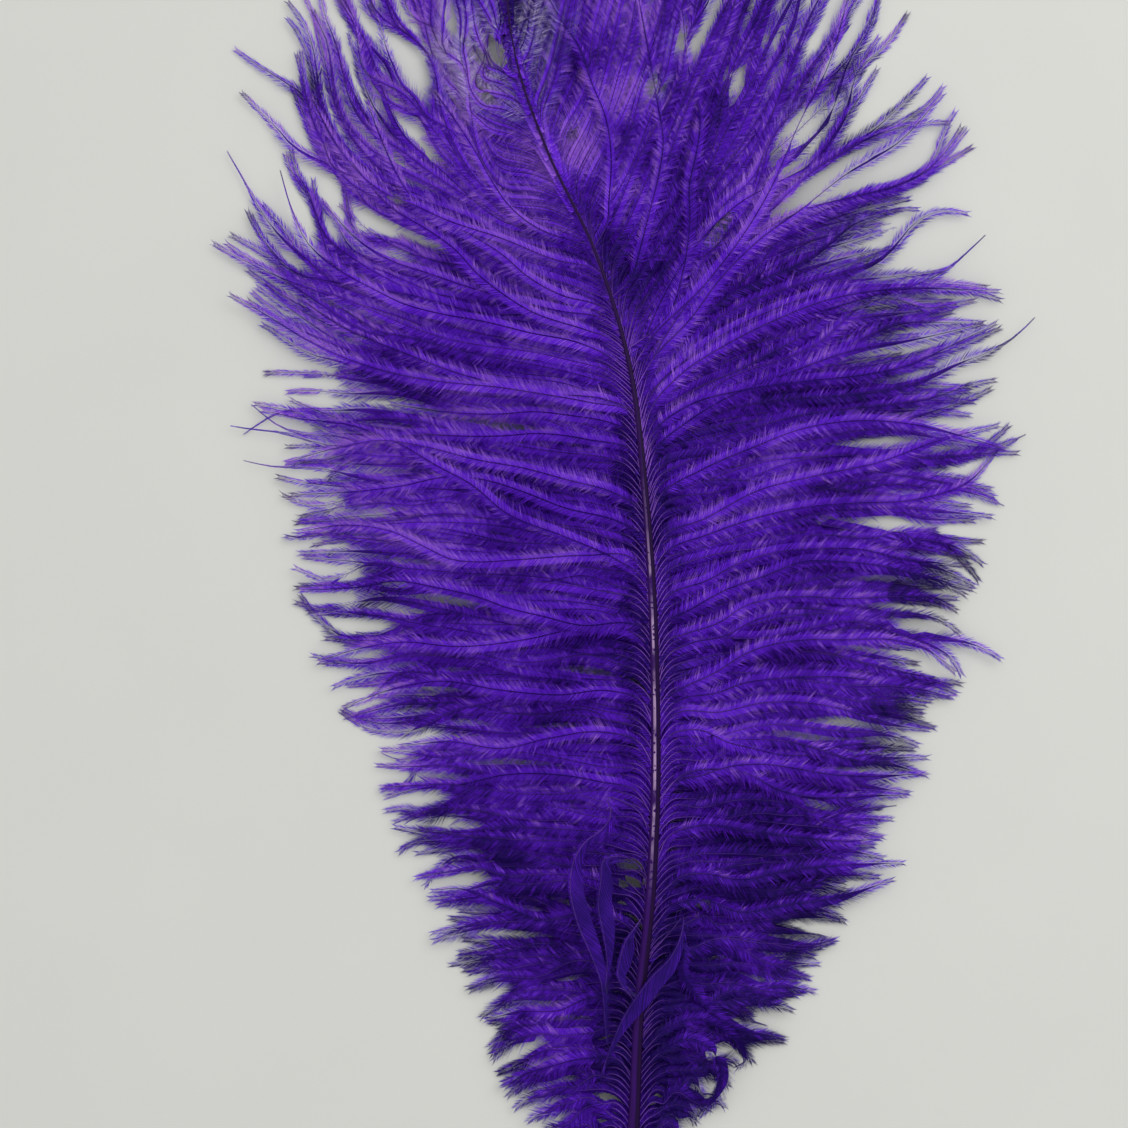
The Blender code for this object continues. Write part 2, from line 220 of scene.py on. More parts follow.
RIGHT_ROUTES = (
    ((2.8, 10), (4.3, 16), (8.5, 21.5), (18, 29), (30, 35), (43, 41), (53, 45), (59, 48.5), (62.5, 52),
     (66, 56), (69.5, 58.5), (74, 59.7), (79.5, 59)),
    ((2.6, 11.5), (4.3, 18), (8.5, 24), (18, 34), (30, 43.5), (42, 51), (52, 55.5), (60, 58), (68, 60)),
    ((2.4, 13), (7, 23), (15, 34.5), (25, 46), (36, 54), (47, 59.5), (56, 63), (64, 66), (70, 68.5),
     (75, 71), (80.5, 74.5)),
    ((2.2, 14.5), (6, 25), (13, 36), (22, 47.5), (32, 56), (40, 60.5), (48, 63), (57, 64.5), (63, 66.5),
     (69, 69.5), (73, 72), (76, 75), (79, 78.5)),
    ((2.1, 15.8), (6, 26), (13, 38), (22, 49.5), (32, 57.5), (42, 62), (52, 64.5), (62, 66.5), (69, 70),
     (72, 74.5), (74, 79), (76.5, 82.8)),
    ((2, 17), (5, 27), (11, 38), (18.5, 48.5), (28, 57), (37, 63), (45, 68.5), (52, 73), (58, 77),
     (64, 79.5), (69, 80.3), (75, 80.3)),
    ((1.9, 18.2), (5, 28), (10.5, 39), (18, 50), (27, 58.5), (36, 64), (44, 69), (50, 72.5), (56, 76.5),
     (61, 79), (66, 82), (70.5, 85), (73.5, 88.7)),
    ((1.7, 20), (4.5, 30), (9.5, 41), (17, 52), (26, 60), (35, 65.5), (41, 69), (45, 73), (48, 77.5),
     (51, 82), (54, 86), (57, 91), (60, 96), (62.5, 100.5), (65.5, 105.5)),
    ((1.5, 21.2), (4, 31), (9, 42), (15.5, 53), (23, 63), (30.5, 72), (35, 80), (39, 86.5), (45, 91.5),
     (50, 95.5), (54, 99.5), (57, 103.5), (59, 110)),
)

# Barbs that lie on top and show from root to tip: their routes.
LEFT_LONG = (
    ((7, -30.5), (4, -25), (-1, -21.5), (-14.5, -15.5), (-27, -10.5), (-35.5, -3.5), (-43, 0.5),
     (-51.5, 5.5), (-63, 10), (-74.5, 11.5), (-83.5, 13.5)),
    ((7, -46), (5, -40.5), (1.5, -37.5), (-12, -37), (-21, -39), (-27, -40), (-38.5, -41), (-51.5, -40),
     (-63, -42), (-70.5, -44.5)),
    ((7, -28.5), (4.5, -23.5), (1.5, -20.5), (-8.5, -20), (-25, -21), (-34, -21.5), (-39.5, -21),
     (-46, -18), (-53.5, -14.5), (-63, -13), (-75.5, -14.5)),
    ((6, -14), (3.5, -9.5), (-1, -6.5), (-14, -2.5), (-23, 0), (-34, 2), (-46, 5), (-56, 6.5), (-67.5, 4.5),
     (-78, 1.5)),
    ((6.5, -20), (4, -15.5), (-1, -12.5), (-14, -9), (-23, -5.5), (-33, -2.5), (-41.5, -2), (-51.5, -4),
     (-65.5, -5.5), (-77, -6)),
    ((7, -41.5), (5, -36.5), (1, -35.5), (-10, -36), (-18.5, -34), (-27, -32), (-34, -29.5), (-43, -27.5),
     (-51.5, -26), (-63, -27.5), (-74.5, -28)),
    ((5.5, 6.5), (1.5, 12.5), (-8, 15), (-19.5, 17), (-28.5, 18.5), (-42.5, 20), (-51.5, 21.5), (-65.5, 26),
     (-74.5, 30.5), (-83.5, 36), (-91, 40)),
    ((6.5, -36.5), (3.5, -30.5), (-2.5, -28.5), (-12, -28), (-18.5, -29), (-23.5, -31), (-31, -33),
     (-42.5, -32.5)),
    ((5, 8.5), (1.5, 13), (-4, 15.5), (-16.5, 17), (-27.5, 19), (-40, 22.5), (-51.5, 27), (-65.5, 33),
     (-74.5, 39)),
    ((5.5, 3), (3.5, 7), (-2.5, 10), (-12, 12), (-21, 13), (-28.5, 12.5), (-40, 13), (-54, 15)),
    ((6, -1.5), (2.5, 3), (-8.5, 6.5), (-21, 8), (-27.5, 7.5), (-38.5, 7.5), (-49.5, 8.5), (-65.5, 11.5),
     (-77, 16)),
    ((-5, 50.5), (-8, 51), (-11.5, 52), (-20.5, 55.5), (-26.5, 60.5), (-30, 65.5), (-34.5, 73.5),
     (-39, 80.5), (-44.5, 88)),
    ((-0.5, 32), (-3, 35.5), (-6.5, 37.5), (-14, 39.5), (-21.5, 43.5), (-28.5, 49.5), (-37.5, 55),
     (-44, 58), (-50, 64), (-55, 73.5), (-59.5, 85)),
    ((0.5, 27), (-3, 29.5), (-8.5, 31.5), (-21.5, 36), (-28.5, 40.5), (-33.5, 44.5), (-39, 50.5),
     (-46, 55.5), (-54, 60.5), (-63, 71)),
    ((-4, 44.5), (-8, 46), (-15, 47.5), (-28.5, 53), (-41.5, 57.5), (-49, 61), (-56, 64), (-65.5, 73.5),
     (-72.5, 86)),
    ((1, 22), (-3.5, 25.5), (-10, 28.5), (-21.5, 31), (-31.5, 33.5), (-44, 36), (-51, 38), (-57, 41),
     (-66, 46), (-73, 52), (-76.8, 60), (-79.5, 69)),
    ((-0.5, 32), (-4.5, 34), (-15, 36), (-26.5, 39), (-36.5, 42), (-46.5, 45.5), (-52.5, 47.5), (-61, 52.5),
     (-70, 62)),
    ((7, -84.5), (3.5, -79), (-1.5, -76), (-4, -75.5), (-3, -79), (-5, -82.5), (-9, -85.5), (-11.5, -89.5),
     (-12.5, -94.5), (-11, -103.5), (-7.5, -112), (-5.5, -117.5), (-4.5, -127), (-4, -132.5)),
    ((7, -97), (3.5, -91.5), (-1, -89), (-4.5, -89.5), (-5.5, -95), (-6, -100.5), (-5, -106), (-4, -113),
     (-4.5, -120)),
    ((6.5, -105), (4.5, -102.5), (3.5, -104), (0.5, -108), (-1, -112.5), (-1.5, -116.5), (0, -119.5),
     (2.5, -121.5)),
    ((6.5, -58), (3.5, -53), (-3.5, -51), (-15, -52), (-28.5, -51), (-42.5, -49), (-54, -51), (-64.5, -55)),
    ((6.5, -67.5), (3.5, -63), (-5.5, -60.5), (-17, -62), (-28.5, -64.5), (-40, -63), (-51.5, -64)),
    ((6.5, -79), (2.5, -74), (-5.5, -72), (-15, -70.5), (-26.5, -70.5), (-38, -73), (-49.5, -74.5),
     (-55, -76)),
    ((4.5, -113), (1.5, -106), (-8, -102.5), (-19.5, -104), (-28.5, -100.5), (-38, -97), (-44.5, -97.5)),
    ((4, -127), (0, -123.5), (-8, -122), (-15, -125), (-24, -125.5), (-32, -127.5)),
    ((3, -140.5), (-1, -136.5), (-9, -136), (-17, -138), (-24, -140.5), (-27.5, -143)),
)
RIGHT_LONG = (
    ((2.3, 14), (6.5, 25), (14, 37), (24, 48.5), (34, 56), (44, 60.5), (54, 63), (63, 65.5), (70, 69),
     (75.5, 75), (78, 79)),
    ((4.2, 1), (6.5, 8), (14, 14), (28, 18), (42, 20), (56, 21.7), (66, 24), (74, 27.7), (80, 30.6),
     (86, 33.5)),
    ((3, 8.5), (4.5, 14.5), (9, 20.5), (20, 28), (34, 33), (48, 37), (60, 40.5), (68, 42.8), (74.5, 46),
     (79.5, 50.2), (83.5, 54)),
    ((3.1, 8.2), (5.5, 15.5), (13, 24), (25, 32), (38, 38), (50, 41.3), (62, 42.4), (73, 42.8), (84, 42)),
    ((2.2, 21), (5, 30.5), (10, 41.5), (18, 53), (27, 61.5), (36, 66.5), (42.5, 70), (46.5, 74),
     (49.5, 78.5), (52.5, 83), (55.5, 87.5), (58.5, 92.5)),
    ((6, -28), (7.5, -22), (10, -19), (18.5, -15.5), (30, -11.5), (41.5, -9), (53.5, -8), (68, -7),
     (80.5, -2.5), (86.5, 4.5)),
    ((6.5, -36.5), (8, -31), (11, -28.5), (18.5, -26), (26, -22), (34, -19.5), (44.5, -18.5), (53.5, -18.5),
     (65.5, -21), (79.5, -22.5)),
    ((6.5, -41.5), (9, -35.5), (14, -33), (23, -28), (33, -24.5), (41, -21.5), (49.5, -21.5), (56.5, -22),
     (68, -24.5), (80.5, -28)),
    ((6.5, -46), (9, -40), (14, -38), (21.5, -35.5), (28, -31.5), (34, -30), (41, -29.5), (52, -30),
     (63.5, -29.5), (77, -30)),
    ((7, -49), (10, -42.5), (15.5, -40), (23, -38.5), (30, -35), (36.5, -33.5), (43.5, -33.5), (48, -35),
     (52, -38), (59, -41.5)),
    ((7, -58.5), (8.5, -53), (11, -51.5), (21.5, -46.5), (28, -42.5), (34, -40.5), (41, -39.5),
     (50.5, -39.5), (62, -39.5), (70.5, -42), (76.5, -47)),
    ((7, -61.5), (9, -55.5), (13, -53), (21.5, -51.5), (27, -49.5), (34, -48.5), (44.5, -48), (54, -48.5),
     (65.5, -51), (75, -53)),
    ((7, -64.5), (8.5, -58.5), (12.5, -56), (21.5, -56), (31.5, -54), (41.5, -54), (50.5, -55.5), (61, -59),
     (70.5, -60.5)),
    ((7, -67), (10, -61.5), (17, -60), (24, -63), (30, -64.5), (36.5, -66), (43.5, -66), (50, -64),
     (59, -63.5)),
    ((7, -77.5), (11, -72), (17.5, -70.5), (24, -68.5), (31.5, -68), (39, -69), (47.5, -70.5), (56.5, -71),
     (69, -70.5)),
    ((7, -76), (13, -70.5), (21, -69), (29, -70.5), (35.5, -74), (41.5, -75.5), (50.5, -76), (59, -75.5),
     (65, -75.5)),
    ((6, -21), (9, -15.5), (17.5, -12), (31, -5), (45, -1.5), (59, 1.5), (72.5, 6.5), (86.5, 10)),
    ((5.5, -12), (8, -6.5), (17.5, -0.5), (29, 4.5), (40.5, 9), (54, 11), (68, 10), (80, 7), (88, 4.5)),
    ((4.5, -2.5), (7, 4), (15, 11), (26.5, 17.5), (38, 22), (52, 27), (65.5, 29.5), (83, 33.5)),
    ((3.5, 6.5), (6, 13.5), (13, 21.5), (22, 27.5), (33.5, 33.5), (47.5, 39), (63.5, 41.5), (86.5, 41)),
    ((5.5, 27), (6.5, 31.5), (10.5, 36), (13.5, 45.5), (15, 58), (15, 65.5), (16.5, 72), (17.5, 80),
     (15, 91.5), (13.5, 105.5)),
    ((-5, 50.5), (-4, 56), (-3.5, 62), (-3, 70), (-3.5, 77), (-4.5, 81.5), (-7.5, 89), (-10, 96.5),
     (-15, 104.5), (-20.5, 114.5)),
    ((0, 39), (1.5, 43.5), (3.5, 50), (5.5, 58), (8, 68), (9, 76), (8, 82.5), (6, 94), (3.5, 108)),
    ((3.5, 18), (6.5, 25), (15, 34), (22, 43.5), (31, 52.5), (40.5, 59.5), (52, 68.5), (63.5, 75.5),
     (73.5, 86.5)),
    ((2.5, 22.5), (6, 29.5), (17.5, 41), (26.5, 52.5), (33.5, 64), (40.5, 80), (47.5, 94), (52, 110)),
    ((7, -99), (10, -96), (13.5, -93.5), (17.5, -93), (26.5, -94.5), (38, -92.5), (49.5, -91.5),
     (64.5, -91)),
    ((7, -112), (11, -106), (13.5, -103), (13, -107), (10, -113), (6.5, -116.5), (3.5, -120.5), (0.5, -125),
     (-2.5, -131.5), (-5.5, -140)),
    ((7, -119), (10.5, -113.5), (13.5, -110.5), (13.5, -116.5), (16.5, -121), (20, -125.5), (25.5, -129),
     (36, -131.5)),
    ((6.5, -106), (11, -100.5), (17.5, -99), (26.5, -102), (38, -100.5), (49.5, -99), (62, -95)),
    ((6, -139.5), (9, -134), (15, -131.5), (20, -134), (22.5, -139.5), (21, -145), (17.5, -149.5)),
    ((6, -135), (10, -129), (17.5, -127), (24, -130.5), (27, -134), (28, -137), (26, -138.5)),
    ((6.5, -90), (10, -84.5), (17.5, -82), (29, -83.5), (40.5, -85), (52, -86), (59, -85.5)),
)

# Barbs below the others that close the vane between its locks: their routes.
LEFT_UNDER = (
    ((6.8, -30.5), (4, -26), (-6, -23), (-20, -21.5), (-36, -20.5), (-52, -19.5), (-64, -19), (-75, -19.5)),
    ((6.8, -29), (4, -25), (-6, -19.5), (-16, -17.5), (-27, -17), (-38, -15.5), (-50, -13.5), (-62, -12.5),
     (-75, -12)),
    ((7, -36), (4.5, -31.5), (-6, -28), (-20, -26), (-35, -24.5), (-50, -23), (-62, -21.5), (-74, -20.5)),
    ((7, -50), (4.5, -45.5), (-6, -42), (-20, -40.5), (-36, -39.5), (-50, -38.5), (-62, -38)),
    ((7, -64), (4.5, -59), (-6, -55.5), (-18, -54), (-32, -53), (-45, -52.5), (-57, -52.5)),
    ((7, -73), (4.5, -68.5), (-4, -64.5), (-15, -62.5), (-28, -61), (-40, -60), (-50, -59)),
    ((6.5, -90), (4, -86), (-5, -83), (-15, -81.5), (-27, -81), (-38, -80.5), (-46, -79)),
    ((6, -112), (3.5, -108), (-6, -105), (-16, -104), (-26, -103.5), (-38, -102.5)),
    ((5.8, -114), (3, -110), (-7, -107.5), (-18, -106.5), (-28, -105.5), (-40, -104)),
    ((5.3, -118.5), (2.8, -115), (-6, -112), (-16, -110.5), (-26, -109.5), (-37, -109)),
    ((5, -122), (2.5, -118.5), (-6, -116), (-15, -115), (-26, -115), (-37, -116)),
    ((4.5, -128), (2, -124.5), (-6, -122), (-14, -121.5), (-22, -122.5), (-30, -124)),
    ((4, -133), (1.5, -129.5), (-6, -127.5), (-14, -127.5), (-22, -128.5), (-29, -130)),
    ((4.3, 11.5), (1, 17), (-10, 22), (-30, 26), (-50, 28.5), (-65, 32), (-75, 37), (-83, 43)),
    ((4, 13), (0.5, 18.5), (-12, 24), (-30, 28.5), (-50, 31.5), (-64, 35), (-73, 40), (-80, 47)),
    ((6.3, -24), (4, -20), (-5, -15.5), (-18, -13), (-32, -11.5), (-48, -10.5), (-62, -11), (-76, -12.5)),
    ((6.8, -31), (4, -26.5), (-6, -21.5), (-20, -19), (-35, -17.5), (-50, -16.5), (-62, -16.5),
     (-72, -17.5)),
    ((5.8, -12), (3.5, -8), (-5, -4.5), (-20, -2.5), (-35, -1.5), (-50, -1.5), (-62, -2.5), (-73, -3)),
    ((-3.9, 46), (-5.4, 48.4), (-10, 50), (-17, 53.2), (-27.5, 59.4), (-38.5, 66.5), (-47, 71.8),
     (-53.5, 77.5), (-57.5, 83), (-60, 88.5), (-62, 95), (-64, 101)),
    ((-3, 43), (-4.8, 45.5), (-12, 46.5), (-25, 51), (-38, 57.5), (-50, 64.5), (-60, 73), (-66.5, 83),
     (-69.5, 95), (-72, 106)),
    ((1, 25), (-2, 30.5), (-14, 36.5), (-28, 42.5), (-40, 47), (-52, 51), (-60, 56), (-66, 61)),
    ((3.2, 15), (0, 20.5), (-14, 23.5), (-30, 25), (-46, 25), (-58, 23.5), (-66, 21.8), (-74, 21.5)),
    ((5, -6), (2.5, -1), (-8, 1.5), (-24, 2), (-40, 1.5), (-54, 1), (-66, 1.3), (-75, 1.5)),
    ((6, -16), (4, -12), (-5, -8.5), (-20, -7), (-36, -6.3), (-52, -7), (-64, -8.5), (-75, -11)),
    ((7, -58), (4.5, -53), (-6, -50), (-20, -49), (-36, -49), (-50, -49.3), (-64, -50.5)),
    ((7, -66), (4.5, -61), (-6, -57.5), (-20, -56.5), (-36, -56.8), (-50, -57.5), (-62, -58)),
    ((6.7, -95), (4, -91), (-5, -88.5), (-16, -87.5), (-28, -87), (-38, -87.5), (-48, -89)),
    ((6.5, -99), (4, -95.5), (-5, -93), (-16, -92), (-28, -92), (-38, -93), (-47, -94.5)),
    ((5.6, -119), (3, -115.5), (-6, -112.5), (-15, -111), (-26, -110.5), (-38, -112)),
)
RIGHT_UNDER = (
    ((2.3, 13.8), (6, 24), (13, 35.5), (22, 47), (32, 55), (42, 60), (52, 62.5), (62, 64.3), (70, 67)),
    ((2.35, 13.5), (6, 23.5), (14, 35.5), (24, 46.5), (34, 54), (44, 58.5), (54, 61.3), (64, 63.3)),
    ((5.6, -11.5), (8, -6), (18, -3), (32, -3), (46, -4.5), (60, -6), (72, -7.5), (80, -8.5)),
    ((3.4, 6.3), (6, 13.5), (15, 21.5), (28, 28), (42, 32), (56, 34.5), (68, 36.5), (77, 38)),
    ((3.6, 5.2), (6, 12.5), (15, 20), (28, 26.5), (42, 30.5), (56, 33), (68, 34.8), (76, 36.3)),
    ((0.9, 25.5), (3.5, 35), (9.5, 47), (17, 59.5), (24.5, 72), (30, 82), (34, 91), (37, 101)),
    ((3.9, 3.5), (6.4, 10.5), (15, 16.5), (28, 20), (42, 22), (54, 23.5), (64, 25.5), (73, 28)),
    ((4, 3), (6.3, 10), (15, 15.8), (28, 19), (42, 20.8), (54, 22), (64, 23), (72, 24)),
    ((2.85, 9.3), (5, 17), (13, 27), (24, 35.5), (36, 41.5), (46, 45.2), (54, 48), (61, 50.5)),
    ((3.1, 8), (5.5, 15.5), (14, 24), (26, 31.5), (36, 36), (46, 39), (56, 41)),
    ((3.8, 4), (6, 11), (14, 17), (26, 22.5), (38, 27), (50, 30.5), (62, 33), (74, 35)),
    ((2.9, 9), (5, 16), (13, 26), (25, 34.5), (38, 40), (50, 43), (62, 44.5), (74, 46)),
    ((2.8, 9.8), (5, 17.5), (13, 28), (24, 37), (35, 43), (46, 47.5), (56, 50), (64, 51.5)),
    ((2.7, 10.5), (5, 19), (12, 29), (22, 38.5), (33, 45.5), (45, 50.5), (55, 53.5), (63, 56)),
    ((2.5, 12), (5, 21), (12, 32), (22, 43), (33, 51), (44, 56.5), (55, 60), (66, 62.5)),
    ((4.3, 0), (7, 7), (16, 12), (30, 15), (45, 16.5), (58, 17), (70, 17.5), (80, 18)),
    ((6.3, -30), (8.5, -25), (18, -20.5), (30, -18.5), (45, -18), (60, -18), (70, -19), (80, -20.5)),
    ((6.7, -41), (9, -35.5), (18, -31.5), (30, -29), (45, -27.5), (60, -27), (74, -27.5)),
    ((6.8, -44), (9, -38.5), (18, -35), (30, -33), (45, -32.5), (58, -33), (70, -34.5)),
    ((7, -55), (9, -50), (18, -46.5), (30, -44.5), (45, -43.5), (58, -43.5), (68, -45)),
    ((7, -66), (9, -61.5), (18, -58.5), (30, -56.5), (45, -55.5), (58, -55.5), (69, -56)),
    ((7, -74), (9, -69.5), (18, -66.5), (30, -65), (45, -64.5), (58, -64.5), (67, -65)),
    ((7, -83.5), (9, -79), (18, -76), (30, -74.5), (45, -74), (60, -74.5)),
    ((7, -92), (9, -87.5), (18, -84.5), (30, -83.5), (45, -83.5), (56, -84)),
    ((6.5, -110), (9, -105.5), (18, -103), (30, -102.5), (40, -103), (50, -104.5)),
    ((6.3, -113), (8.5, -108.5), (17, -106), (28, -105.5), (38, -106.5), (47, -108.5)),
    ((6, -116), (8, -111.5), (16, -109.5), (27, -109.5), (36, -111), (44, -113)),
    ((5.8, -121), (8, -117), (16, -115), (26, -115), (35, -116), (42, -117.5)),
    ((5, -128), (7.5, -124), (15, -122), (24, -122.5), (31, -123.5), (36, -123.5)),
    ((4.8, -130.5), (7, -127), (14, -125), (22, -125.5), (29, -126.5)),
    ((5.3, -8), (8, -2), (18, 2.5), (30, 5), (45, 7), (58, 8), (70, 8.5)),
    ((4.5, -1.5), (7.5, 5), (18, 10), (30, 12.5), (45, 14), (60, 15), (74, 15.5)),
    ((4, 2.5), (6.5, 9), (15, 15), (27, 19.5), (40, 22), (52, 24.5), (64, 26.5)),
    ((2.6, 11.3), (5, 19.5), (12, 30.5), (22, 40.5), (32, 47), (42, 52), (52, 56.5)),
    ((1.2, 24), (3.5, 34), (9, 46), (16, 58), (24, 70), (31, 81), (37, 91), (43, 103)),
    ((0.5, 28), (3, 38), (9, 50), (17, 62), (26, 73.5), (35, 83), (44, 92), (52, 103)),
    ((0.8, 26.5), (3.5, 36), (11, 48), (21, 60), (31, 70), (41, 79), (50, 88), (59, 100)),
    ((-1, 33), (1, 43), (5.5, 56), (12, 69), (19, 81), (26, 92), (32, 104)),
    ((2, 16), (4.5, 25), (11, 35), (21, 45), (32, 51.5), (43, 55.5), (54, 58), (64, 60)),
    ((2.2, 14.5), (5, 23.5), (12, 34), (22, 43), (33, 49), (44, 53), (54, 55.5), (62, 57)),
    ((3.3, 7), (6, 14), (15, 22.5), (28, 29.5), (40, 33.5), (52, 36.5), (64, 38.5), (76, 39)),
    ((3.7, 4.5), (6.2, 11.5), (14, 18.5), (26, 24.5), (38, 28), (50, 29), (60, 30.3), (68, 31)),
    ((4.2, 0.8), (6.8, 8), (16, 13.5), (30, 16.8), (45, 18.6), (58, 19.2), (70, 19.2), (80, 19)),
    ((4.4, -0.5), (7, 6.5), (16, 11.5), (30, 14), (45, 15.3), (58, 15.8), (70, 16), (81, 15.5)),
    ((4.7, -2.5), (7.3, 4), (17, 8.5), (30, 11), (45, 12.3), (58, 13), (70, 13.5), (80, 12.5)),
    ((5, -6), (7.7, 0), (18, 3), (32, 4), (47, 4), (60, 3), (72, 1.5), (82, 3)),
    ((5.5, -10), (8, -4), (18, -0.5), (32, 0.5), (46, -0.5), (60, -2), (74, -2.5)),
    ((6, -22.5), (8.3, -17.5), (18, -13), (32, -11.5), (46, -13), (60, -15.5), (76, -17.5)),
    ((6.5, -36), (8.8, -31), (18, -27), (32, -25.5), (46, -26.5), (60, -29.5), (73, -31.5)),
    ((6.8, -47.5), (9, -42.5), (18, -39), (30, -37.5), (44, -38), (58, -41), (67, -42)),
    ((7, -52), (9, -47), (18, -43.5), (30, -42), (45, -42.5), (60, -46), (72, -48.5)),
    ((6.9, -89), (9, -84.5), (18, -81.5), (32, -80), (46, -80.5), (60, -81)),
    ((6.6, -102.5), (9, -98), (18, -94.5), (30, -93), (44, -93.5), (59, -94.5)),
    ((5.4, -126), (7.8, -121.5), (15, -120), (25, -121), (34, -122.5), (42, -121)),
    ((4.9, -131), (7.3, -127), (14, -124.5), (22, -124.5), (30, -126)),
)

# Partings, where barbs draw aside and the floor shows: the start and the end of a line (x, y), how far it
# bows to the left of its way, and half the width that stays clear.
PARTINGS = (
    (-44, 87.7, -58.3, 104.2, -0.6, 2.2), (-56, 82, -65, 99, -0.8, 1.2), (-51.5, 83, -54.5, 89.5, 0, 0.6),
    (-46.5, 77, -50.5, 82, 0, 1.4), (-51, 71, -55, 74, 0, 0.4), (-55, 99.5, -64, 107.5, 0, 1.2),
    (-60, 97, -67, 103, 0, 0.8), (-63, 101.5, -71, 108, 0, 0.8), (-40.5, 94.5, -46.5, 104.5, 0, 1.2),
    (-36.5, 97.5, -42, 107, 0, 0.9), (-31.5, 92, -37.5, 100, 0, 0.7), (-26.5, 91, -31, 100, 0, 0.5),
    (-36.5, 81, -43, 89.5, 0, 0.5), (-30.5, 83.5, -35, 92, 0, 0.8), (-47, 101, -53.5, 108, 0, 1.1),
    (-53, 55, -62.5, 62, 1.0, 1.3), (-65.5, 56, -69.2, 70, 0, 1.4), (-71.2, 52.5, -75.5, 66, 0, 1.0),
    (-66.5, 53, -69.5, 60, 0, 0.6), (-63, 45.3, -70, 50.5, 0, 0.8), (-72.5, 44.5, -79.5, 51, 0, 0.8),
    (-48, 49, -56, 51.5, 0, 0.6), (-71.5, 24, -84, 26, 0.8, 0.9), (-65, 19.5, -82, 20.5, 0, 0.8),
    (-64, 14.5, -79, 16, -0.5, 0.9), (-69.5, 9.5, -82, 12, 0.5, 1.1), (-66, 5.8, -83, 6.4, 0, 1.2),
    (-66.5, 3.4, -79, 3.6, 0, 0.7), (-66, -2.3, -77, -0.8, -0.4, 0.5), (-54.5, 4.5, -60.5, 5, 0, 0.4),
    (-55.5, 29.6, -68, 31.8, 0.4, 0.3), (-66, -8.5, -76, -9.5, 0, 0.4), (-46.5, -9.3, -69, -11, 0.5, 0.6),
    (-64, -18, -78, -16.5, 0, 0.9), (-61.5, -24.3, -77, -24.3, 0, 1.4), (-50, -27, -57.5, -26.2, 0, 0.6),
    (-61, -30, -73, -29.6, 0, 0.5), (-51, -37.3, -75, -36.3, -0.4, 1.4), (-55.5, -43, -69, -42, 0, 0.7),
    (-55, -51.5, -67.5, -52, 0, 1.3), (-42.5, -52.5, -49.5, -51.5, 0, 0.4),
    (-44, -60.7, -63, -59.8, 0, 0.9), (-46.5, -67.3, -60, -66.8, 0, 0.4),
    (-46.5, -71.5, -60, -71.3, 0, 0.8), (-42.5, -75.3, -56, -75.8, 0, 0.6),
    (-33, -82.3, -47, -81.2, 0, 0.7), (-31, -92.3, -47, -96.5, 1.2, 1.1),
    (-6.5, -128, -17.5, -127.7, -0.5, 0.7), (-17.5, -131.6, -28.5, -137.4, 0, 0.6),
    (-51, -87.5, -44, -88.5, 0, 0.3), (13, 96, 14.7, 107, 0, 0.5), (3.5, 82.5, 8.5, 95, 0, 0.35),
    (23.5, 84, 28.5, 91.5, 0, 0.9), (36, 98.5, 40, 108, 0, 0.3), (39.5, 87.3, 56, 107, -2.2, 1.2),
    (32.4, 70.2, 51.2, 86.6, 1.2, 2.4), (51.5, 87, 56, 95.5, 0, 0.6), (30.5, 66, 44, 71, 0, 0.9),
    (33.6, 56.3, 58, 74, 0.5, 2.0), (43, 61.3, 58.5, 69.3, 0, 2.0), (17.3, 47.5, 28.5, 63.5, 0.8, 0.9),
    (57.5, 67.5, 72, 76, -0.8, 2.6), (59.5, 55, 66.5, 59.5, 0, 0.8), (52.5, 48.3, 62, 53.5, 0, 1.2),
    (46.5, 36.1, 66, 39.3, 0.3, 1.2), (59.5, 44, 74, 47.5, 0, 1.0), (74, 22, 86, 24, 0, 0.9),
    (59.5, -12, 67, -14, 0, 1.2), (44, -11, 56.5, -16, 0, 0.6), (60.5, -35.8, 76, -38, 0.8, 1.0),
    (64, -41.7, 77, -45.5, 0, 0.9), (73, -14.2, 86, -14, 0, 0.9), (40, -77, 50, -78.3, 0, 0.4),
    (42, -107.2, 50, -106.4, 0, 0.7), (14.5, -98, 20.5, -102.3, 0, 0.6), (18.5, -136, 25.5, -133.2, 0, 0.9),
    (-2, -91.4, 5.6, -91.2, 0.3, 0.8), (-2, -95.3, 5.5, -95.2, 0.4, 0.9),
)

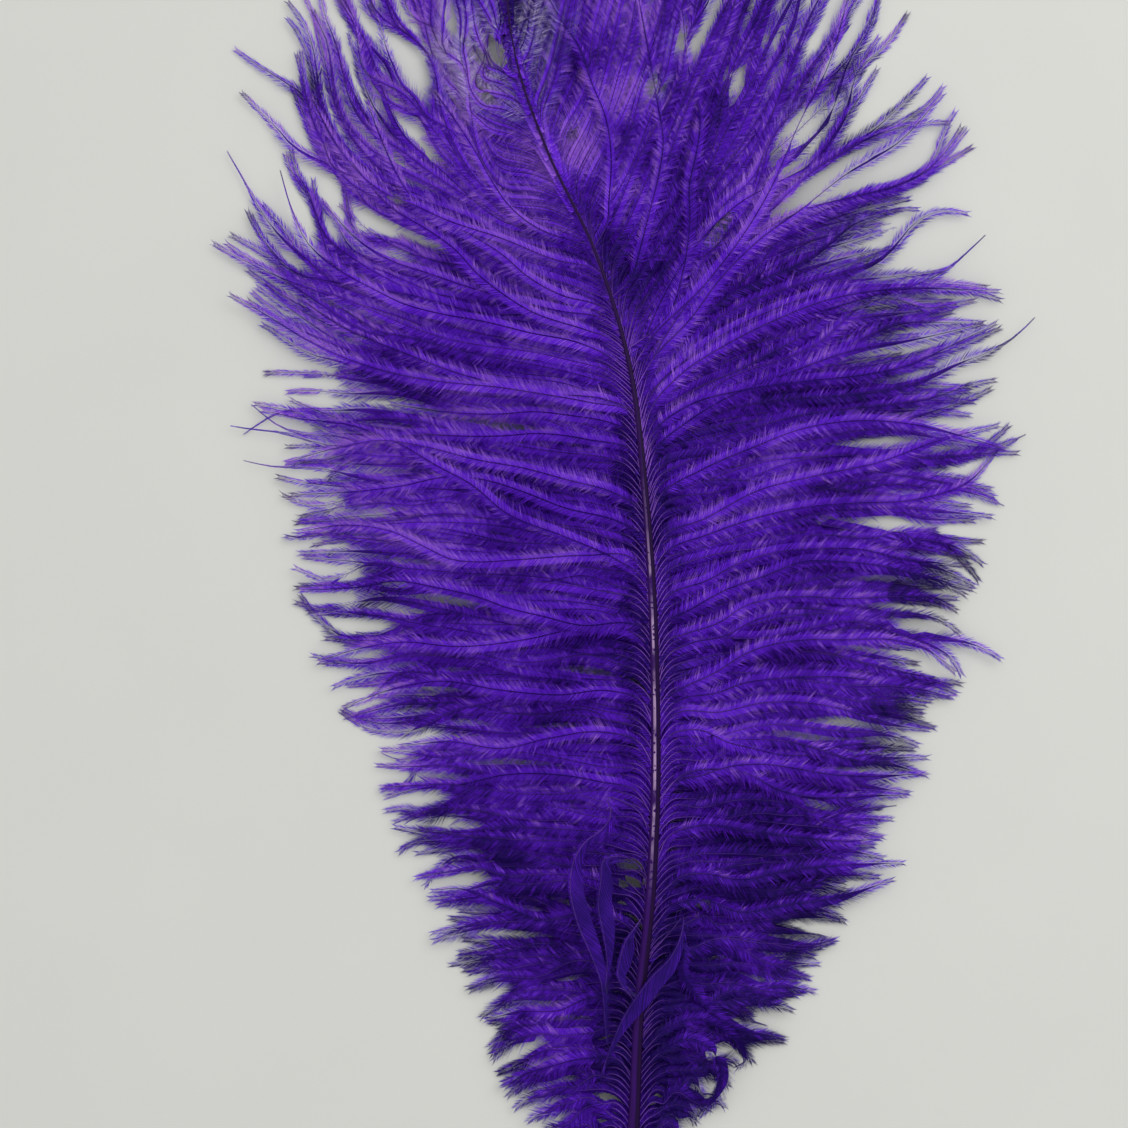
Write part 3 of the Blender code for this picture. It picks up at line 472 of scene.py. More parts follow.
# Places painted brighter or darker than the rest, as painted light and shade: x, y, radius, and how much.
LIT_AND_SHADED_PLACES = (
    (-30, 95, 18, 0.4), (-14, 74, 13, 0.5), (-1, 88, 10, 0.45), (-1, 62, 10, 0.4), (12, 97, 8, 0.2),
    (-63, 86, 12, -0.35), (34, 58, 12, 0.15), (30, 80, 10, 0.12), (-15, 30, 14, 0.12), (-38, -10, 16, 0.1),
    (-25, 106, 7, -0.3), (-10, 94, 7, -0.25), (-72, 88, 9, -0.3), (-45, 26, 16, -0.18),
    (-62, 33, 10, -0.15), (28, 35, 14, -0.05), (68, -30, 16, -0.35), (60, -58, 16, -0.35),
    (-58, -30, 14, -0.15), (-45, -55, 14, -0.15), (12, 3, 12, 0.15), (-5, -40, 10, -0.1),
    (-48, 12, 14, -0.22), (-36, 22, 12, -0.1), (-32, 46, 12, -0.12), (30, 60, 14, 0.1), (60, 6, 14, 0.1),
    (42, -28, 16, -0.12), (40, -56, 14, -0.1), (5, 50, 8, 0.15), (-15, -130, 14, 0.25), (-9, 72, 8, 0.3),
    (35, -85, 16, -0.15), (-15, -105, 18, -0.15), (-12, -122, 12, -0.08), (20, -112, 18, -0.05),
    (62, 5, 12, 0.15), (30, -25, 14, -0.15), (60, -60, 10, -0.2), (25, -50, 12, -0.12),
    (38, -109, 11, -0.3), (-20, 82, 8, 0.2), (40, 62, 8, 0.15), (-9, 60, 8, 0.15), (60, -30, 8, -0.12),
    (48, 10, 9, 0.15),
)

# Places where the fringes are thin and let the floor show, and their radius.
SPARSE = (
    (-30, 96, 5), (-63, -31, 3), (-52, 62, 4), (-60, 56, 4), (-44, 72, 3), (-46, 96, 5), (14, 98, 4),
    (7, 88, 4), (26, 90, 5), (34, 98, 3), (43, 97, 4), (41, 79, 7), (43, 64, 6), (-12, 77, 3), (62, 56, 4),
    (-68, 20, 5), (-66, -8, 4), (-62, -24, 4),
)

# Places where thin barbules look pale, as painted light shining through them: x, y, radius, and how pale.
BACKLIT_PALE = (
    (-31, 95, 18, 1.0), (-22, 102, 11, 0.95), (-24, 86, 9, 0.7), (13, 98, 6, 0.35), (7, 88, 5, 0.4),
    (41, 79, 8, 0.25), (43, 64, 7, 0.2), (-12, 77, 4, 0.3),
)

# ---------------------------------------------------------------- the stage, in metres

VIEW_WIDTH = 0.2594                # width that the camera sees at the plume
VIEW_CENTRE = (-0.0139, -0.0220)   # the place it looks down on
VIEW_HEIGHT = 0.008                # middle height of the plume
CAMERA_DISTANCE = 1.0
SENSOR = 36.0                      # the camera's width, in millimetres
FLOOR_HALF = 3                     # half the floor's width
FLOOR_DROP = 0.0002                # how far it lies below the plume's surface
ROOM_LIGHT, ROOM_STRENGTH = (0.97, 0.985, 1.0, 1), 0.66
LAMPS = (                          # name, place, width, and power in watts
    ("window", (0.25, 0.95, 1.6), 1.5, 4.6),
    ("side window", (0.65, 0.4, 0.85), 0.7, 3.2),
)


# ---------------------------------------------------------------- curves and fields

def smooth_curve(knots, share):
    """Cubic Hermite curve through the knots, read at shares of its length, with slopes from the chords."""
    chords = np.linalg.norm(np.diff(knots[:, :3], axis=0), axis=1)
    at = np.concatenate([[0.0], np.cumsum(chords)])
    slopes = np.gradient(knots, at, axis=0)
    wanted = np.asarray(share) * at[-1]
    i = np.clip(np.searchsorted(at, wanted, side="right") - 1, 0, len(chords) - 1)
    gap = (at[i + 1] - at[i])[:, None]
    u = (wanted - at[i])[:, None] / gap
    start = knots[i] * (1 + 2 * u) + slopes[i] * gap * u
    end = knots[i + 1] * (3 - 2 * u) + slopes[i + 1] * gap * (u - 1)
    return start * (1 - u) ** 2 + end * u ** 2


def flat_curve(route, share):
    """A smooth curve through a route's points in the plane."""
    return smooth_curve(np.pad(np.array(route, float), ((0, 0), (0, 1))), share)[:, :2]


def read_steps(values, share):
    """Values given at even steps from 0 to 1, read in between."""
    return np.interp(share, np.linspace(0, 1, len(values)), values)


def direction(degrees):
    """Unit vectors in the plane at these angles from +X."""
    angle = np.radians(degrees)
    return np.stack([np.cos(angle), np.sin(angle)], -1)


def left_of(vectors):
    """Vectors in the plane, turned a quarter to the left."""
    return np.stack([-vectors[..., 1], vectors[..., 0]], -1)


def unit(vectors):
    """Vectors scaled to length 1."""
    return vectors / np.maximum(np.linalg.norm(vectors, axis=-1, keepdims=True), 1e-9)


def ease(low, high, value):
    """0 below low, 1 above high, and a smooth step between them."""
    u = np.clip((value - low) / (high - low), 0, 1)
    return u * u * (3 - 2 * u)


def wave(turns):
    """The sine of an angle given in turns."""
    return np.sin(2 * np.pi * turns)


def max_of(arrays):
    """The greatest of several arrays at each place."""
    return functools.reduce(np.maximum, arrays)


def shaft_at(share):
    """The shaft at shares of its length: its knots' four values, and its heading in degrees."""
    here = smooth_curve(SHAFT, share)
    ahead = smooth_curve(SHAFT, np.minimum(share + 0.002, 1)) - smooth_curve(SHAFT, share - 0.002)
    return here, np.degrees(np.arctan2(ahead[:, 1], ahead[:, 0]))


def share_of_height(y):
    """The share of the shaft's length at which it passes these heights in the picture plane."""
    grid = np.linspace(0, 1, 800)
    return np.interp(y, smooth_curve(SHAFT, grid)[:, 1], grid)


def beside_parting(flat, line, margin):
    """Where points lie by a parting: its unit way, the share of its length, the distance to the left of its
    line, which is bowed as a parabola, and half its width there, which narrows to both ends as a root."""
    x0, y0, x1, y1, bow, half = line
    way = np.array((x1 - x0, y1 - y0), float)
    long = np.hypot(*way)
    way /= long
    off = flat - (x0, y0)
    t = off @ way / long
    x = off[..., 1] * way[0] - off[..., 0] * way[1] - 4 * bow * np.clip(t * (1 - t), -0.3, 1)
    return way, t, x, (half + margin) * np.sqrt(np.clip(4 * t * (1 - t), 0, 1))


def parting_depth(flat):
    """How deep points lie in the clear part of a parting: 0 at its edge and outside, 1 on its line."""
    depth = np.zeros(flat.shape[:-1])
    for line in PARTINGS:
        _, _, x, width = beside_parting(flat, line, FRINGE_MARGIN)
        depth = np.maximum(depth, 1 - np.abs(x) / np.maximum(width, 1e-3))
    return depth


def nearness(flat, x, y, radius, full):
    """1 from a place's middle to the full share of its radius, falling to 0 at the radius."""
    return 1 - ease(full, 1, np.hypot(flat[..., 0] - x, flat[..., 1] - y) / radius)


def sparse_at(flat):
    """How sparse the fringes are."""
    return max_of(nearness(flat, *place, 0.3) for place in SPARSE)


def backlit_pale_at(flat):
    """How pale the barbules are: painted light, as if it shone through them."""
    return max_of(amount * nearness(flat, x, y, radius, 0.3) for x, y, radius, amount in BACKLIT_PALE)


def painted_patches(flat):
    """How much brighter or darker the listed places are painted, as painted light and shade, all of them
    together.
    """
    return sum(more * nearness(flat, x, y, radius, 0.2) for x, y, radius, more in LIT_AND_SHADED_PLACES)


def tip_is_bare(tips):
    """Whether tips are among the bare ones, to within a millimetre."""
    return (np.abs(tips[:, None] - np.array(BARE_TIPS)).sum(2) < 1).any(1)


# ---------------------------------------------------------------- barbs

class Vane:
    """The barbs of one side. Arrays run over barbs and the steps along them."""

    def __init__(self, side, count):
        self.side = side
        self.rng = np.random.default_rng(SEED + (side > 0))
        self.locks, self.routes, under, over = (
            (RIGHT_LOCKS, RIGHT_ROUTES, RIGHT_UNDER, RIGHT_LONG) if side > 0 else
            (LEFT_LOCKS, LEFT_ROUTES, LEFT_UNDER, LEFT_LONG))
        self.grow(count)
        self.add_barbs(under, UNDER_LAYER, LIFT_UNDER, False)
        self.add_barbs(over, OVER_LAYER, LIFT_OVER, True)
        self.measure()

    def roots(self, share):
        """Where barbs leave the shaft: on its flank, just above its middle."""
        here, heading = shaft_at(share)
        out = direction(heading - self.side * 90)
        slim = read_steps(SHAFT_SLIM, share)
        flat = here[:, :2] + out * (here[:, 3] * slim * FLANK_OUT)[:, None]
        return flat, here[:, 2] + here[:, 3] * FLANK_UP, heading

    def lock_curves(self, t):
        """The curve of each lock and the height where it grows: a cubic to its tip, or its route. A cubic
        starts with a short handle at the barbs' slant, from where the lock has climbed to, and below that it
        falls back to its root as the square of the way left."""
        y, tip = self.locks[:, 0], self.locks[:, 1:3]
        share = share_of_height(y)
        root, _, heading = self.roots(share)
        up = (share - VANE_START) / (1 - VANE_START)
        leave = direction(heading - self.side * (read_steps(LEAVE_ANGLE, up) - LEAVE_LESS * (self.side > 0)))
        climb = direction(heading) * read_steps(RISE, up)[:, None]
        root = root + climb
        arrive = direction(self.locks[:, 3] if self.side > 0 else 180 - self.locks[:, 3])
        way = np.linalg.norm(tip - root, axis=1)[:, None]
        first = root + leave * np.minimum(LEAVE_REACH, 0.3 * way)
        last = tip - arrive * way * ARRIVAL_REACH
        s = t[:, None]
        weights = ((1 - s) ** 3, 3 * s * (1 - s) ** 2, 3 * s ** 2 * (1 - s), s ** 3)
        cubics = sum(point[:, None] * weight for point, weight in zip((root, first, last, tip), weights))
        run = np.linalg.norm(cubics - root[:, None], axis=2, keepdims=True)
        cubics -= climb[:, None] * np.clip(1 - run / RISE_REACH, 0, 1) ** 2
        curves = np.concatenate([cubics, [flat_curve(route, t) for route in self.routes]])
        heights = np.concatenate([y, [route[0][1] for route in self.routes]])
        order = np.argsort(heights)
        return curves[order], heights[order]

    def spread(self, count):
        """Shares of the shaft where barbs grow: even, with some jitter, and closer where they are crowded."""
        low, high, more = CROWDED
        grid = np.linspace(VANE_START, 1, 400)
        y = shaft_at(grid)[0][:, 1]
        fade_in, fade_out = ease(low - CROWD_FADE, low, y), ease(high, high + CROWD_FADE, y)
        crowd = np.cumsum(1 + more * fade_in * (1 - fade_out))
        place = (np.arange(count) + 0.5 + self.rng.uniform(-0.2, 0.2, count)) / count
        return np.interp(place, (crowd - crowd[0]) / (crowd[-1] - crowd[0]), grid)

    def choose_locks(self, apart):
        """The lock of each barb: the nearest one, or for strays one or two further on. The barb nearest to a
        lock leads it and never strays."""
        rng, count = self.rng, len(apart)
        lead = np.zeros(count, bool)
        lead[apart.argmin(0)] = True
        stray = (rng.random(count) < STRAYS) & ~lead
        lock = apart.argmin(1) + stray * rng.choice((-2, -1, 1, 2), count)
        return np.clip(lock, 0, apart.shape[1] - 1), lead, stray

    def grow(self, count):
        """The barbs that grow evenly along the shaft. Waves and partings bend them sideways. Those that lead
        a lock reach its tip, and the others end up to a quarter of their way before it, or a seventh low
        down."""
        rng = self.rng
        share = self.spread(count)
        root, root_z, heading = self.roots(share)
        y = root[:, 1]
        curves, heights = self.lock_curves(np.linspace(0, 1, 121))
        apart = np.abs(share[:, None] - share_of_height(heights)[None])
        lock, lead, stray = self.choose_locks(apart)
        shorter = 0.26 - 0.12 * (1 - ease(-20, 20, y))
        ends = np.where(lead, 1.0, 1 - shorter * rng.random(count) ** 1.3)
        t = np.linspace(0, 1, STEPS)[None] ** STEP_POWER * ends[:, None]
        self.wispy = ease(*WISPY_FROM, y) * (0.8 if self.side < 0 else 0.4)
        flat = self.follow(curves, apart, lock, lead, t)
        flat = self.bend(flat, root, heading, lead, t)
        flat += rng.normal(0, SCATTER, (count, 1, 2)) * ease(0.2, 1, t)[..., None] * ~lead[:, None, None]
        flat += self.waves(flat, lock, t, stray)
        for line in PARTINGS:
            flat += self.parted(flat, line)
        lift = rng.uniform(*LIFT, len(heights))[lock][:, None]
        layer = 0.5 * ((np.arange(count) * GOLDEN + 0.3 * stray) % 1) + 0.5 * rng.random(len(heights))[lock]
        power = 2 + 3 * self.wispy + 4 * ease(50, 70, y)
        self.height = self.drape(root_z, lift, t, layer, power)
        self.tone = rng.normal(0, 1, count) * 0.5 + 0.5 * rng.normal(0, 1, len(heights))[lock]
        listed = tip_is_bare(curves[lock, -1]) & lead
        self.bare = np.where(listed, rng.uniform(*BARE_LEAD, count), 0)
        self.bare += np.where(rng.random(count) < BARE_SHARE, rng.uniform(*BARE_ANY, count), 0)
        self.flat, self.layer, self.share = flat, layer, share
        self.slim = np.ones(count)
        self.hangs = self.under = self.top = np.zeros(count, bool)

    def follow(self, curves, apart, lock, lead, t):
        """Each barb follows the mean sweep of the locks near it, and further out the curve of its own lock.
        Fillers keep to the sweep."""
        weight = np.exp(-(apart / SWEEP_WIDTH) ** 2)
        weight /= weight.sum(1, keepdims=True)
        sweep = self.read_curves(np.einsum("bl,lsx->bsx", weight, curves), t)
        own = self.read_curves(curves[lock], t)
        filler = (self.rng.random(len(t)) < FILLERS) & ~lead
        soon = self.wispy[:, None]
        blend = ease(0.3, 0.95, t) * (1 - soon) + ease(0.15, 0.65, t) * soon
        blend = (blend * (1 - 0.75 * filler[:, None]))[..., None]
        return sweep * (1 - blend) + own * blend

    def read_curves(self, curves, t):
        """Points of finely stepped curves at shares t of them."""
        place = np.clip(t, 0, 1) * (curves.shape[1] - 1)
        i = np.minimum(place.astype(int), curves.shape[1] - 2)
        u = (place - i)[..., None]
        barb = np.arange(len(curves))[:, None]
        return curves[barb, i] * (1 - u) + curves[barb, i + 1] * u

    def bend(self, flat, root, heading, lead, t):
        """Turns the barbs a little, brings them back to their roots, and lets those of the upper vane climb
        beside the shaft before they turn away, in full on the left and a fifth as far on the right."""
        lean = np.radians(self.rng.normal(0, LEAN, len(t)) * ~lead)[:, None, None]
        flat = flat + left_of(flat - root[:, None]) * lean * LEAN_TAKEN
        flat += (root[:, None] - flat[:, :1]) * (1 - ease(0, 0.6, t))[..., None]
        y = root[:, 1]
        low, full, fading, gone = CREST_HEIGHTS
        crest = CREST * ease(low, full, y) * (1 - ease(fading, gone, y)) * (0.6 - 0.4 * self.side)
        most, end = CREST_RUN
        run = np.linalg.norm(flat - root[:, None], axis=2)
        climb = crest[:, None] * (1 - (1 - np.clip(run / most, 0, 1)) ** 2) * (1 - ease(most, end, run))
        return flat + direction(heading)[:, None] * climb[..., None]

    def waves(self, flat, lock, t, stray):
        """Sideways shifts: two sines along the barb, one shared by the lock and one of the barb's own."""
        rng, locks, count = self.rng, lock.max() + 1, len(flat)
        size, turns, start = (
            rng.uniform(*span, locks)[lock][:, None] for span in ((0.3, 1.5), (0.9, 2.2), (0, 1)))
        own, own_turns, own_start = (
            rng.uniform(*span, count)[:, None] for span in ((0.1, 0.7), (1.5, 3.5), (0, 1)))
        own = own * (1 + stray[:, None])
        shift = size * wave(turns * t + start) + own * wave(own_turns * t + own_start)
        window = ease(0.08, 0.35, t) * (1 - 0.8 * ease(0.75, 1, t))
        return left_of(unit(np.gradient(flat, axis=1))) * (shift * window)[..., None]

    def parted(self, flat, line):
        """How far a parting moves the barbs. A barb that runs beside or over its line goes to the side where
        most of it lies: its distance x, between minus and plus a reach, becomes
        width + (reach - width) (x + reach) / (2 reach), and the move fades past the ends."""
        way, t, x, width = beside_parting(flat, line, BARB_MARGIN)
        reach = line[5] + BARB_MARGIN + SQUEEZE
        beside = (t > 0) & (t < 1) & (np.abs(x) < reach)
        side = np.where((x * beside).sum(1) < 0, -1.0, 1.0)[:, None]
        x = x * side
        pushed = width + (reach - width) * np.clip((x + reach) / (2 * reach), 0, 1)
        move = np.where(x < reach, pushed - x, 0) * ease(-2 * reach, -reach, x)
        move *= ease(-0.2, 0.15, t) * (1 - ease(0.85, 1.2, t)) * side
        for _ in range(2):
            move[:, 1:-1] = move[:, 1:-1] / 2 + (move[:, :-2] + move[:, 2:]) / 4
        return move[..., None] * (-way[1], way[0])

    def drape(self, root_z, lift, u, layer, power):
        """Height along a barb: from the shaft it falls to its lifted tip as a power of the way left, with an
        arch in its middle, and steps up or down to its layer. The longer barbs of the upper vane droop
        sooner."""
        start = root_z[:, None]
        plain = lift + (start - lift) * (1 - u) ** power[:, None]
        plain += ARCH * np.sin(np.pi * np.minimum(u, 1)) * (1 - u / 2)
        rise = ease(0.02, 0.28, u) * (1 - 0.8 * ease(0.4, 0.9, u))
        return np.maximum(plain + (layer[:, None] * LAYERS - LAYER_DROP) * rise, 0.3)

    def add_barbs(self, routes, layer, lifts, top):
        """Appends barbs, each a smooth curve through its route, in a layer over or under the others. Those
        that hang down along the shaft lie over it and are dark closed blades."""
        rng, count = self.rng, len(routes)
        share = share_of_height(np.array([route[0][1] for route in routes]))
        root, root_z, _ = self.roots(share)
        u = np.linspace(0, 1, STEPS) ** STEP_POWER
        flat = np.stack([flat_curve([start, *route[1:]], u) for start, route in zip(root, routes)])
        lift = rng.uniform(*lifts, count)[:, None]
        layers = np.full(count, layer)
        wispy = ease(*WISPY_FROM, root[:, 1]) * 0.5
        height = self.drape(root_z, lift, np.tile(u, (count, 1)), layers, 2 + 3 * wispy)
        hangs = flat[:, -1, 1] < flat[:, 0, 1] - HANG_DROP
        shaft = smooth_curve(SHAFT, share_of_height(flat[..., 1].ravel()))[:, 2].reshape(count, STEPS)
        over = height + (shaft + HANG_OVER - height) * ease(0.12, 0.35, u)
        ends = np.array([route[-1] for route in routes])
        self.append(flat=flat, height=np.where(hangs[:, None], over, height), layer=layers, share=share,
                    wispy=wispy, tone=np.where(hangs, -1.5, rng.normal(0.3 * top, 0.5, count)),
                    bare=np.where(tip_is_bare(ends), BARE_LISTED, 0), slim=np.where(hangs, 0.72, 1),
                    hangs=hangs, under=np.full(count, not top), top=np.full(count, top))

    def append(self, **more):
        """Adds the values of more barbs to those that are there."""
        for name, values in more.items():
            setattr(self, name, np.concatenate([getattr(self, name), values]))

    def measure(self):
        """Routes in space, their lengths, and each barb's frame: along it, across it and up from its ribbon,
        which rolls about the barb by an angle of its own and a sine."""
        rng, count, y = self.rng, len(self.flat), self.flat[:, 0, 1]
        self.route = np.concatenate([self.flat, self.height[..., None]], 2)
        hops = np.linalg.norm(np.diff(self.route, axis=1), axis=2)
        self.at = np.concatenate([np.zeros((count, 1)), np.cumsum(hops, 1)], 1)
        self.length = self.at[:, -1]
        self.bare = self.bare / self.length
        self.dense = 1 - ease(-25, 5, y) if self.side > 0 else 0.5 - 0.5 * ease(-30, 0, y)
        self.grey = np.clip(rng.normal(0.5, 0.4, count), 0, 0.95)
        self.along = unit(np.gradient(self.route, axis=1))
        across = unit(np.cross((0, 0, 1), self.along))
        up = np.cross(self.along, across)
        spread, swings, rates, length = ROLL
        tilt, swing = rng.normal(0, spread, count)[:, None], rng.uniform(*swings, count)[:, None]
        rate, start = rng.uniform(*rates, count)[:, None], rng.random(count)[:, None]
        roll = np.radians(tilt + swing * wave(self.at / length * rate + start))[..., None]
        self.across = across * np.cos(roll) + up * np.sin(roll)
        self.up = up * np.cos(roll) - across * np.sin(roll)


def read_along(vane, barb, s):
    """Point, along, across and up of the numbered barbs at lengths s, on the straight steps of their
    routes."""
    stride = vane.length.max() + 10
    table = (vane.at + np.arange(len(vane.at))[:, None] * stride).ravel()
    place = np.searchsorted(table, s + barb * stride, side="right") - 1
    step = np.clip(place - barb * STEPS, 0, STEPS - 2)
    low, high = vane.at[barb, step], vane.at[barb, step + 1]
    u = ((s - low) / np.maximum(high - low, 1e-6))[:, None]
    arrays = (vane.route, vane.along, vane.across, vane.up)
    point, *axes = (each[barb, step] * (1 - u) + each[barb, step + 1] * u for each in arrays)
    return point, *map(unit, axes)


def rib_radius(half, u):
    """Half width of a rib: slim at the shaft, full a little further out, and two fifths of it at the tip."""
    return half * (0.4 + 0.6 * (1 - u) ** 0.6) * (0.6 + 0.4 * ease(0.02, 0.15, u))


def fringe_growth(s, u, wispy):
    """Length of a fringe as a share of its longest: short at the shaft, full from 12 mm out, and shorter at
    the tip and in wisps."""
    near = 0.3 + 0.7 * ease(2.0, 12, s)
    return near * (1 - 0.15 * ease(0.8, 1, u)) * (1 - 0.15 * wispy * ease(0.1, 0.4, u))


def web_width(vane, longest, u):
    """Width of a web from its rib: a share of the fringe's length that narrows to the tip, in sparse places
    and high on the plume. Beside the shaft it stays wide enough to close the vane, and along a bare tip it
    is a tenth."""
    wispy, dense, bare = vane.wispy[:, None], vane.dense[:, None], vane.bare[:, None]
    full = 1 - sparse_at(vane.flat)
    width = longest * FRINGE_FOOT * fringe_growth(vane.at, u, wispy)
    width = width * (1 - ease(0.5 + 0.1 * wispy + 0.2 * dense, 0.9 + 0.05 * wispy + 0.07 * dense, u))
    width *= full * vane.slim[:, None]
    width *= 1 - 0.45 * ease(30, 60, vane.flat[:, :1, 1])
    least = 1.3 * (1 - ease(5, 12, vane.at)) * full
    bald = ease(1 - bare * 2, 1.001 - bare * 1.2, u) * (bare > 0)
    return (np.maximum(width, least) + 0.05) * (1 - 0.9 * bald)


def end_grey(vane, barb, s):
    """How grey a barb's last millimetres are."""
    upper = 0.25 + 0.75 * ease(-90, -40, vane.flat[barb, 0, 1])
    return vane.grey[barb] * upper * (1 - ease(0.5, 4.5, vane.length[barb] - s))


def painted_light_and_shade(vane, flat, s, u):
    """Painted light and shade over the whole vane: painted shade beside the shaft and low down, painted light
    further out, high up and on the left, and what the listed lit and shaded places add."""
    y = flat[..., 1]
    near = 1 - ease(5, 13, s)
    return (0.1 * ease(10, 18, s) * (1 - ease(0.4, 0.8, u)) - 0.5 * near * (1 - ease(10, 60, y))
            + 0.1 * ease(40, 110, y) - 0.22 * (1 - ease(-120, -50, y)) + painted_patches(flat)
            + (0.14 * ease(-90, -40, y) if vane.side < 0 else -0.1))


# ---------------------------------------------------------------- barbules

class Fringes:
    """The barbules of one vane. Arrays run over barbules."""

    def __init__(self, vane, sizes):
        self.vane = vane
        self.rng = np.random.default_rng(SEED + 7 + vane.side)
        self.set_out(sizes.pitch / MM)
        self.thin_out()
        self.points, self.uv = self.blades(sizes.fringe / MM, sizes.blade / MM, sizes.ramus / MM)
        self.tone = self.tones()
        self.grey = end_grey(vane, self.barb, self.s)
        # painted light: thin barbules turn pale as if light shone through them
        self.pale = backlit_pale_at(self.root[:, :2]) * self.rng.uniform(0.1, 1, len(self.barb))

    def set_out(self, pitch):
        """Sets barbules along both flanks of each barb. The one that is a share x of the way through their
        number stands at (1 + CLOSER) x - CLOSER x squared of the barb's length, so they stand closer
        towards its tip. Their own tips shift towards the middle of their tuft."""
        rng, length = self.rng, self.vane.length
        begin = rng.uniform(0.3, 0.8, len(length))
        number = np.maximum(((length - begin) / pitch).astype(int), 1)
        barb = np.repeat(np.arange(len(number)), number)
        nth = np.arange(len(barb)) - np.repeat(np.cumsum(number) - number, number)
        flank = np.repeat((-1.0, 1.0), len(barb))
        barb, nth = np.tile(barb, 2), np.tile(nth, 2)
        phase = rng.integers(0, TUFT, len(number))[barb]

        def place(nth):
            """How far along their barbs barbules with these numbers stand."""
            x = np.clip(nth / number[barb], 0, 1)
            return begin[barb] + (length - begin)[barb] * 0.998 * ((1 + CLOSER) * x - CLOSER * x ** 2)

        s = place(nth + 0.5 + rng.uniform(-0.3, 0.3, len(barb)))
        order = (nth + phase) // TUFT
        self.shift = 0.6 * (place(order * TUFT + TUFT / 2 - phase) - s)
        self.barb, self.flank, self.order, self.s, self.u = barb, flank, order, s, s / length[barb]

    def thin_out(self):
        """Leaves out barbules in sparse places, near tips and on the blades that hang, and all of them near
        the shaft on barbs that lie below the others. What is left of a tuft keeps its number."""
        vane, barb, u = self.vane, self.barb, self.u
        self.patchy = sparse_at(read_along(vane, barb, self.s)[0])
        thin = THINNING * ease(0.6, 0.9, u) * (1 - 0.8 * vane.dense[barb])
        missing = np.maximum.reduce([thin, 0.7 * self.patchy, 0.35 * vane.hangs[barb]])
        kept = self.rng.random(len(barb)) > missing
        kept &= (u > 0.3) | ~vane.under[barb]
        for name in ("barb", "flank", "order", "s", "u", "shift", "patchy"):
            setattr(self, name, getattr(self, name)[kept])
        number = self.order + (self.flank > 0) * MOST_TUFTS + self.barb * 2 * MOST_TUFTS
        _, self.tuft = np.unique(number, return_inverse=True)

    def shared(self, spread):
        """Normal values with this spread, one for each tuft."""
        return self.rng.normal(0, spread, self.tuft.max() + 1)[self.tuft]

    def heading(self, angle, fall):
        """Unit vectors at an angle to the barb, on the barbule's flank, that fall below its ribbon."""
        angle, fall = np.radians(angle)[:, None], np.radians(fall)[:, None]
        aside = self.across * self.flank[:, None] * np.cos(fall) - self.up * np.sin(fall)
        return self.along * np.cos(angle) + aside * np.sin(angle)

    def blades(self, longest, width, ramus):
        """Four points of each barbule and their UVs: a blade with two pointed ends, the widest a third of the
        way out, that leaves the flank of its rib, bends towards the barb's tip and droops."""
        vane, rng, barb, flank, s, u = self.vane, self.rng, self.barb, self.flank, self.s, self.u
        total, hangs = len(barb), vane.hangs[barb]
        root, self.along, self.across, self.up = read_along(vane, barb, s)
        radius = rib_radius(ramus, u)[:, None]
        root = root - self.up * radius * 0.5 + self.across * flank[:, None] * radius * 0.6
        bare = vane.bare[barb]
        bald = ease(1 - bare * 1.6, 1.001 - bare * 0.6, u) * (bare > 0)
        growth = fringe_growth(s, u, vane.wispy[barb])
        length = longest * growth * (1 + self.shared(0.1) + rng.normal(0, 0.06, total))
        length = length * (1 - 0.65 * bald) * (1 - 0.5 * ease(0.8, 1, u)) * (1 - 0.55 * self.patchy)
        length = np.maximum(length * np.where(hangs, 1 + 0.7 * flank, 1), 0.35) * vane.slim[barb]
        slant = 62 - 26 * ease(0.3, 0.95, u) - 8 * ease(0.93, 1, u) + self.shared(3) + rng.normal(0, 2, total)
        slant = slant * (1 - 0.6 * bald) * (1 - 0.3 * hangs)
        droop = 26 + self.shared(6) + 26 * (1 - ease(1.5, 8, s))
        depth = parting_depth((root + self.heading(slant, droop) * length[:, None])[:, :2])
        length *= 1 - ease(0, 0.5, depth) * rng.uniform(0.2, 0.8, total)
        middle = root + self.heading(slant + 5, droop * 0.6) * (length * 0.3)[:, None]
        end = middle + self.heading(slant - 5, droop * 1.25) * (length * 0.7)[:, None]
        end += self.along * (self.shift * (1 - ease(0.5, 0.8, u)))[:, None]
        for spot in (middle, end):
            spot[:, 2] = np.maximum(spot[:, 2], 0.1)
        way = unit(end - root)
        plate = unit(np.cross(way, self.across * flank[:, None]) * flank[:, None])
        plate = np.where(plate[:, 2:] < 0, -plate, plate)
        turn = np.radians(self.shared(12))[:, None]
        beside = np.cross(way, plate)
        beside = beside * np.cos(turn) + plate * np.sin(turn)
        half = beside * (width / 2 * rng.uniform(0.8, 1.2, total) * (1.12 - 0.32 * u))[:, None]
        x = u[:, None] * 0.95 + np.array((0, 1, 3, 4)) * (0.12 / vane.length[barb])[:, None]
        y = np.array((0.02, 0.3, 0.4, 1.0)) * flank[:, None]
        self.root = root
        points = np.stack([root, middle - half, middle + half, end], 1)
        return points, np.stack([np.clip(x, 0, 1), np.broadcast_to(y, x.shape)], -1)

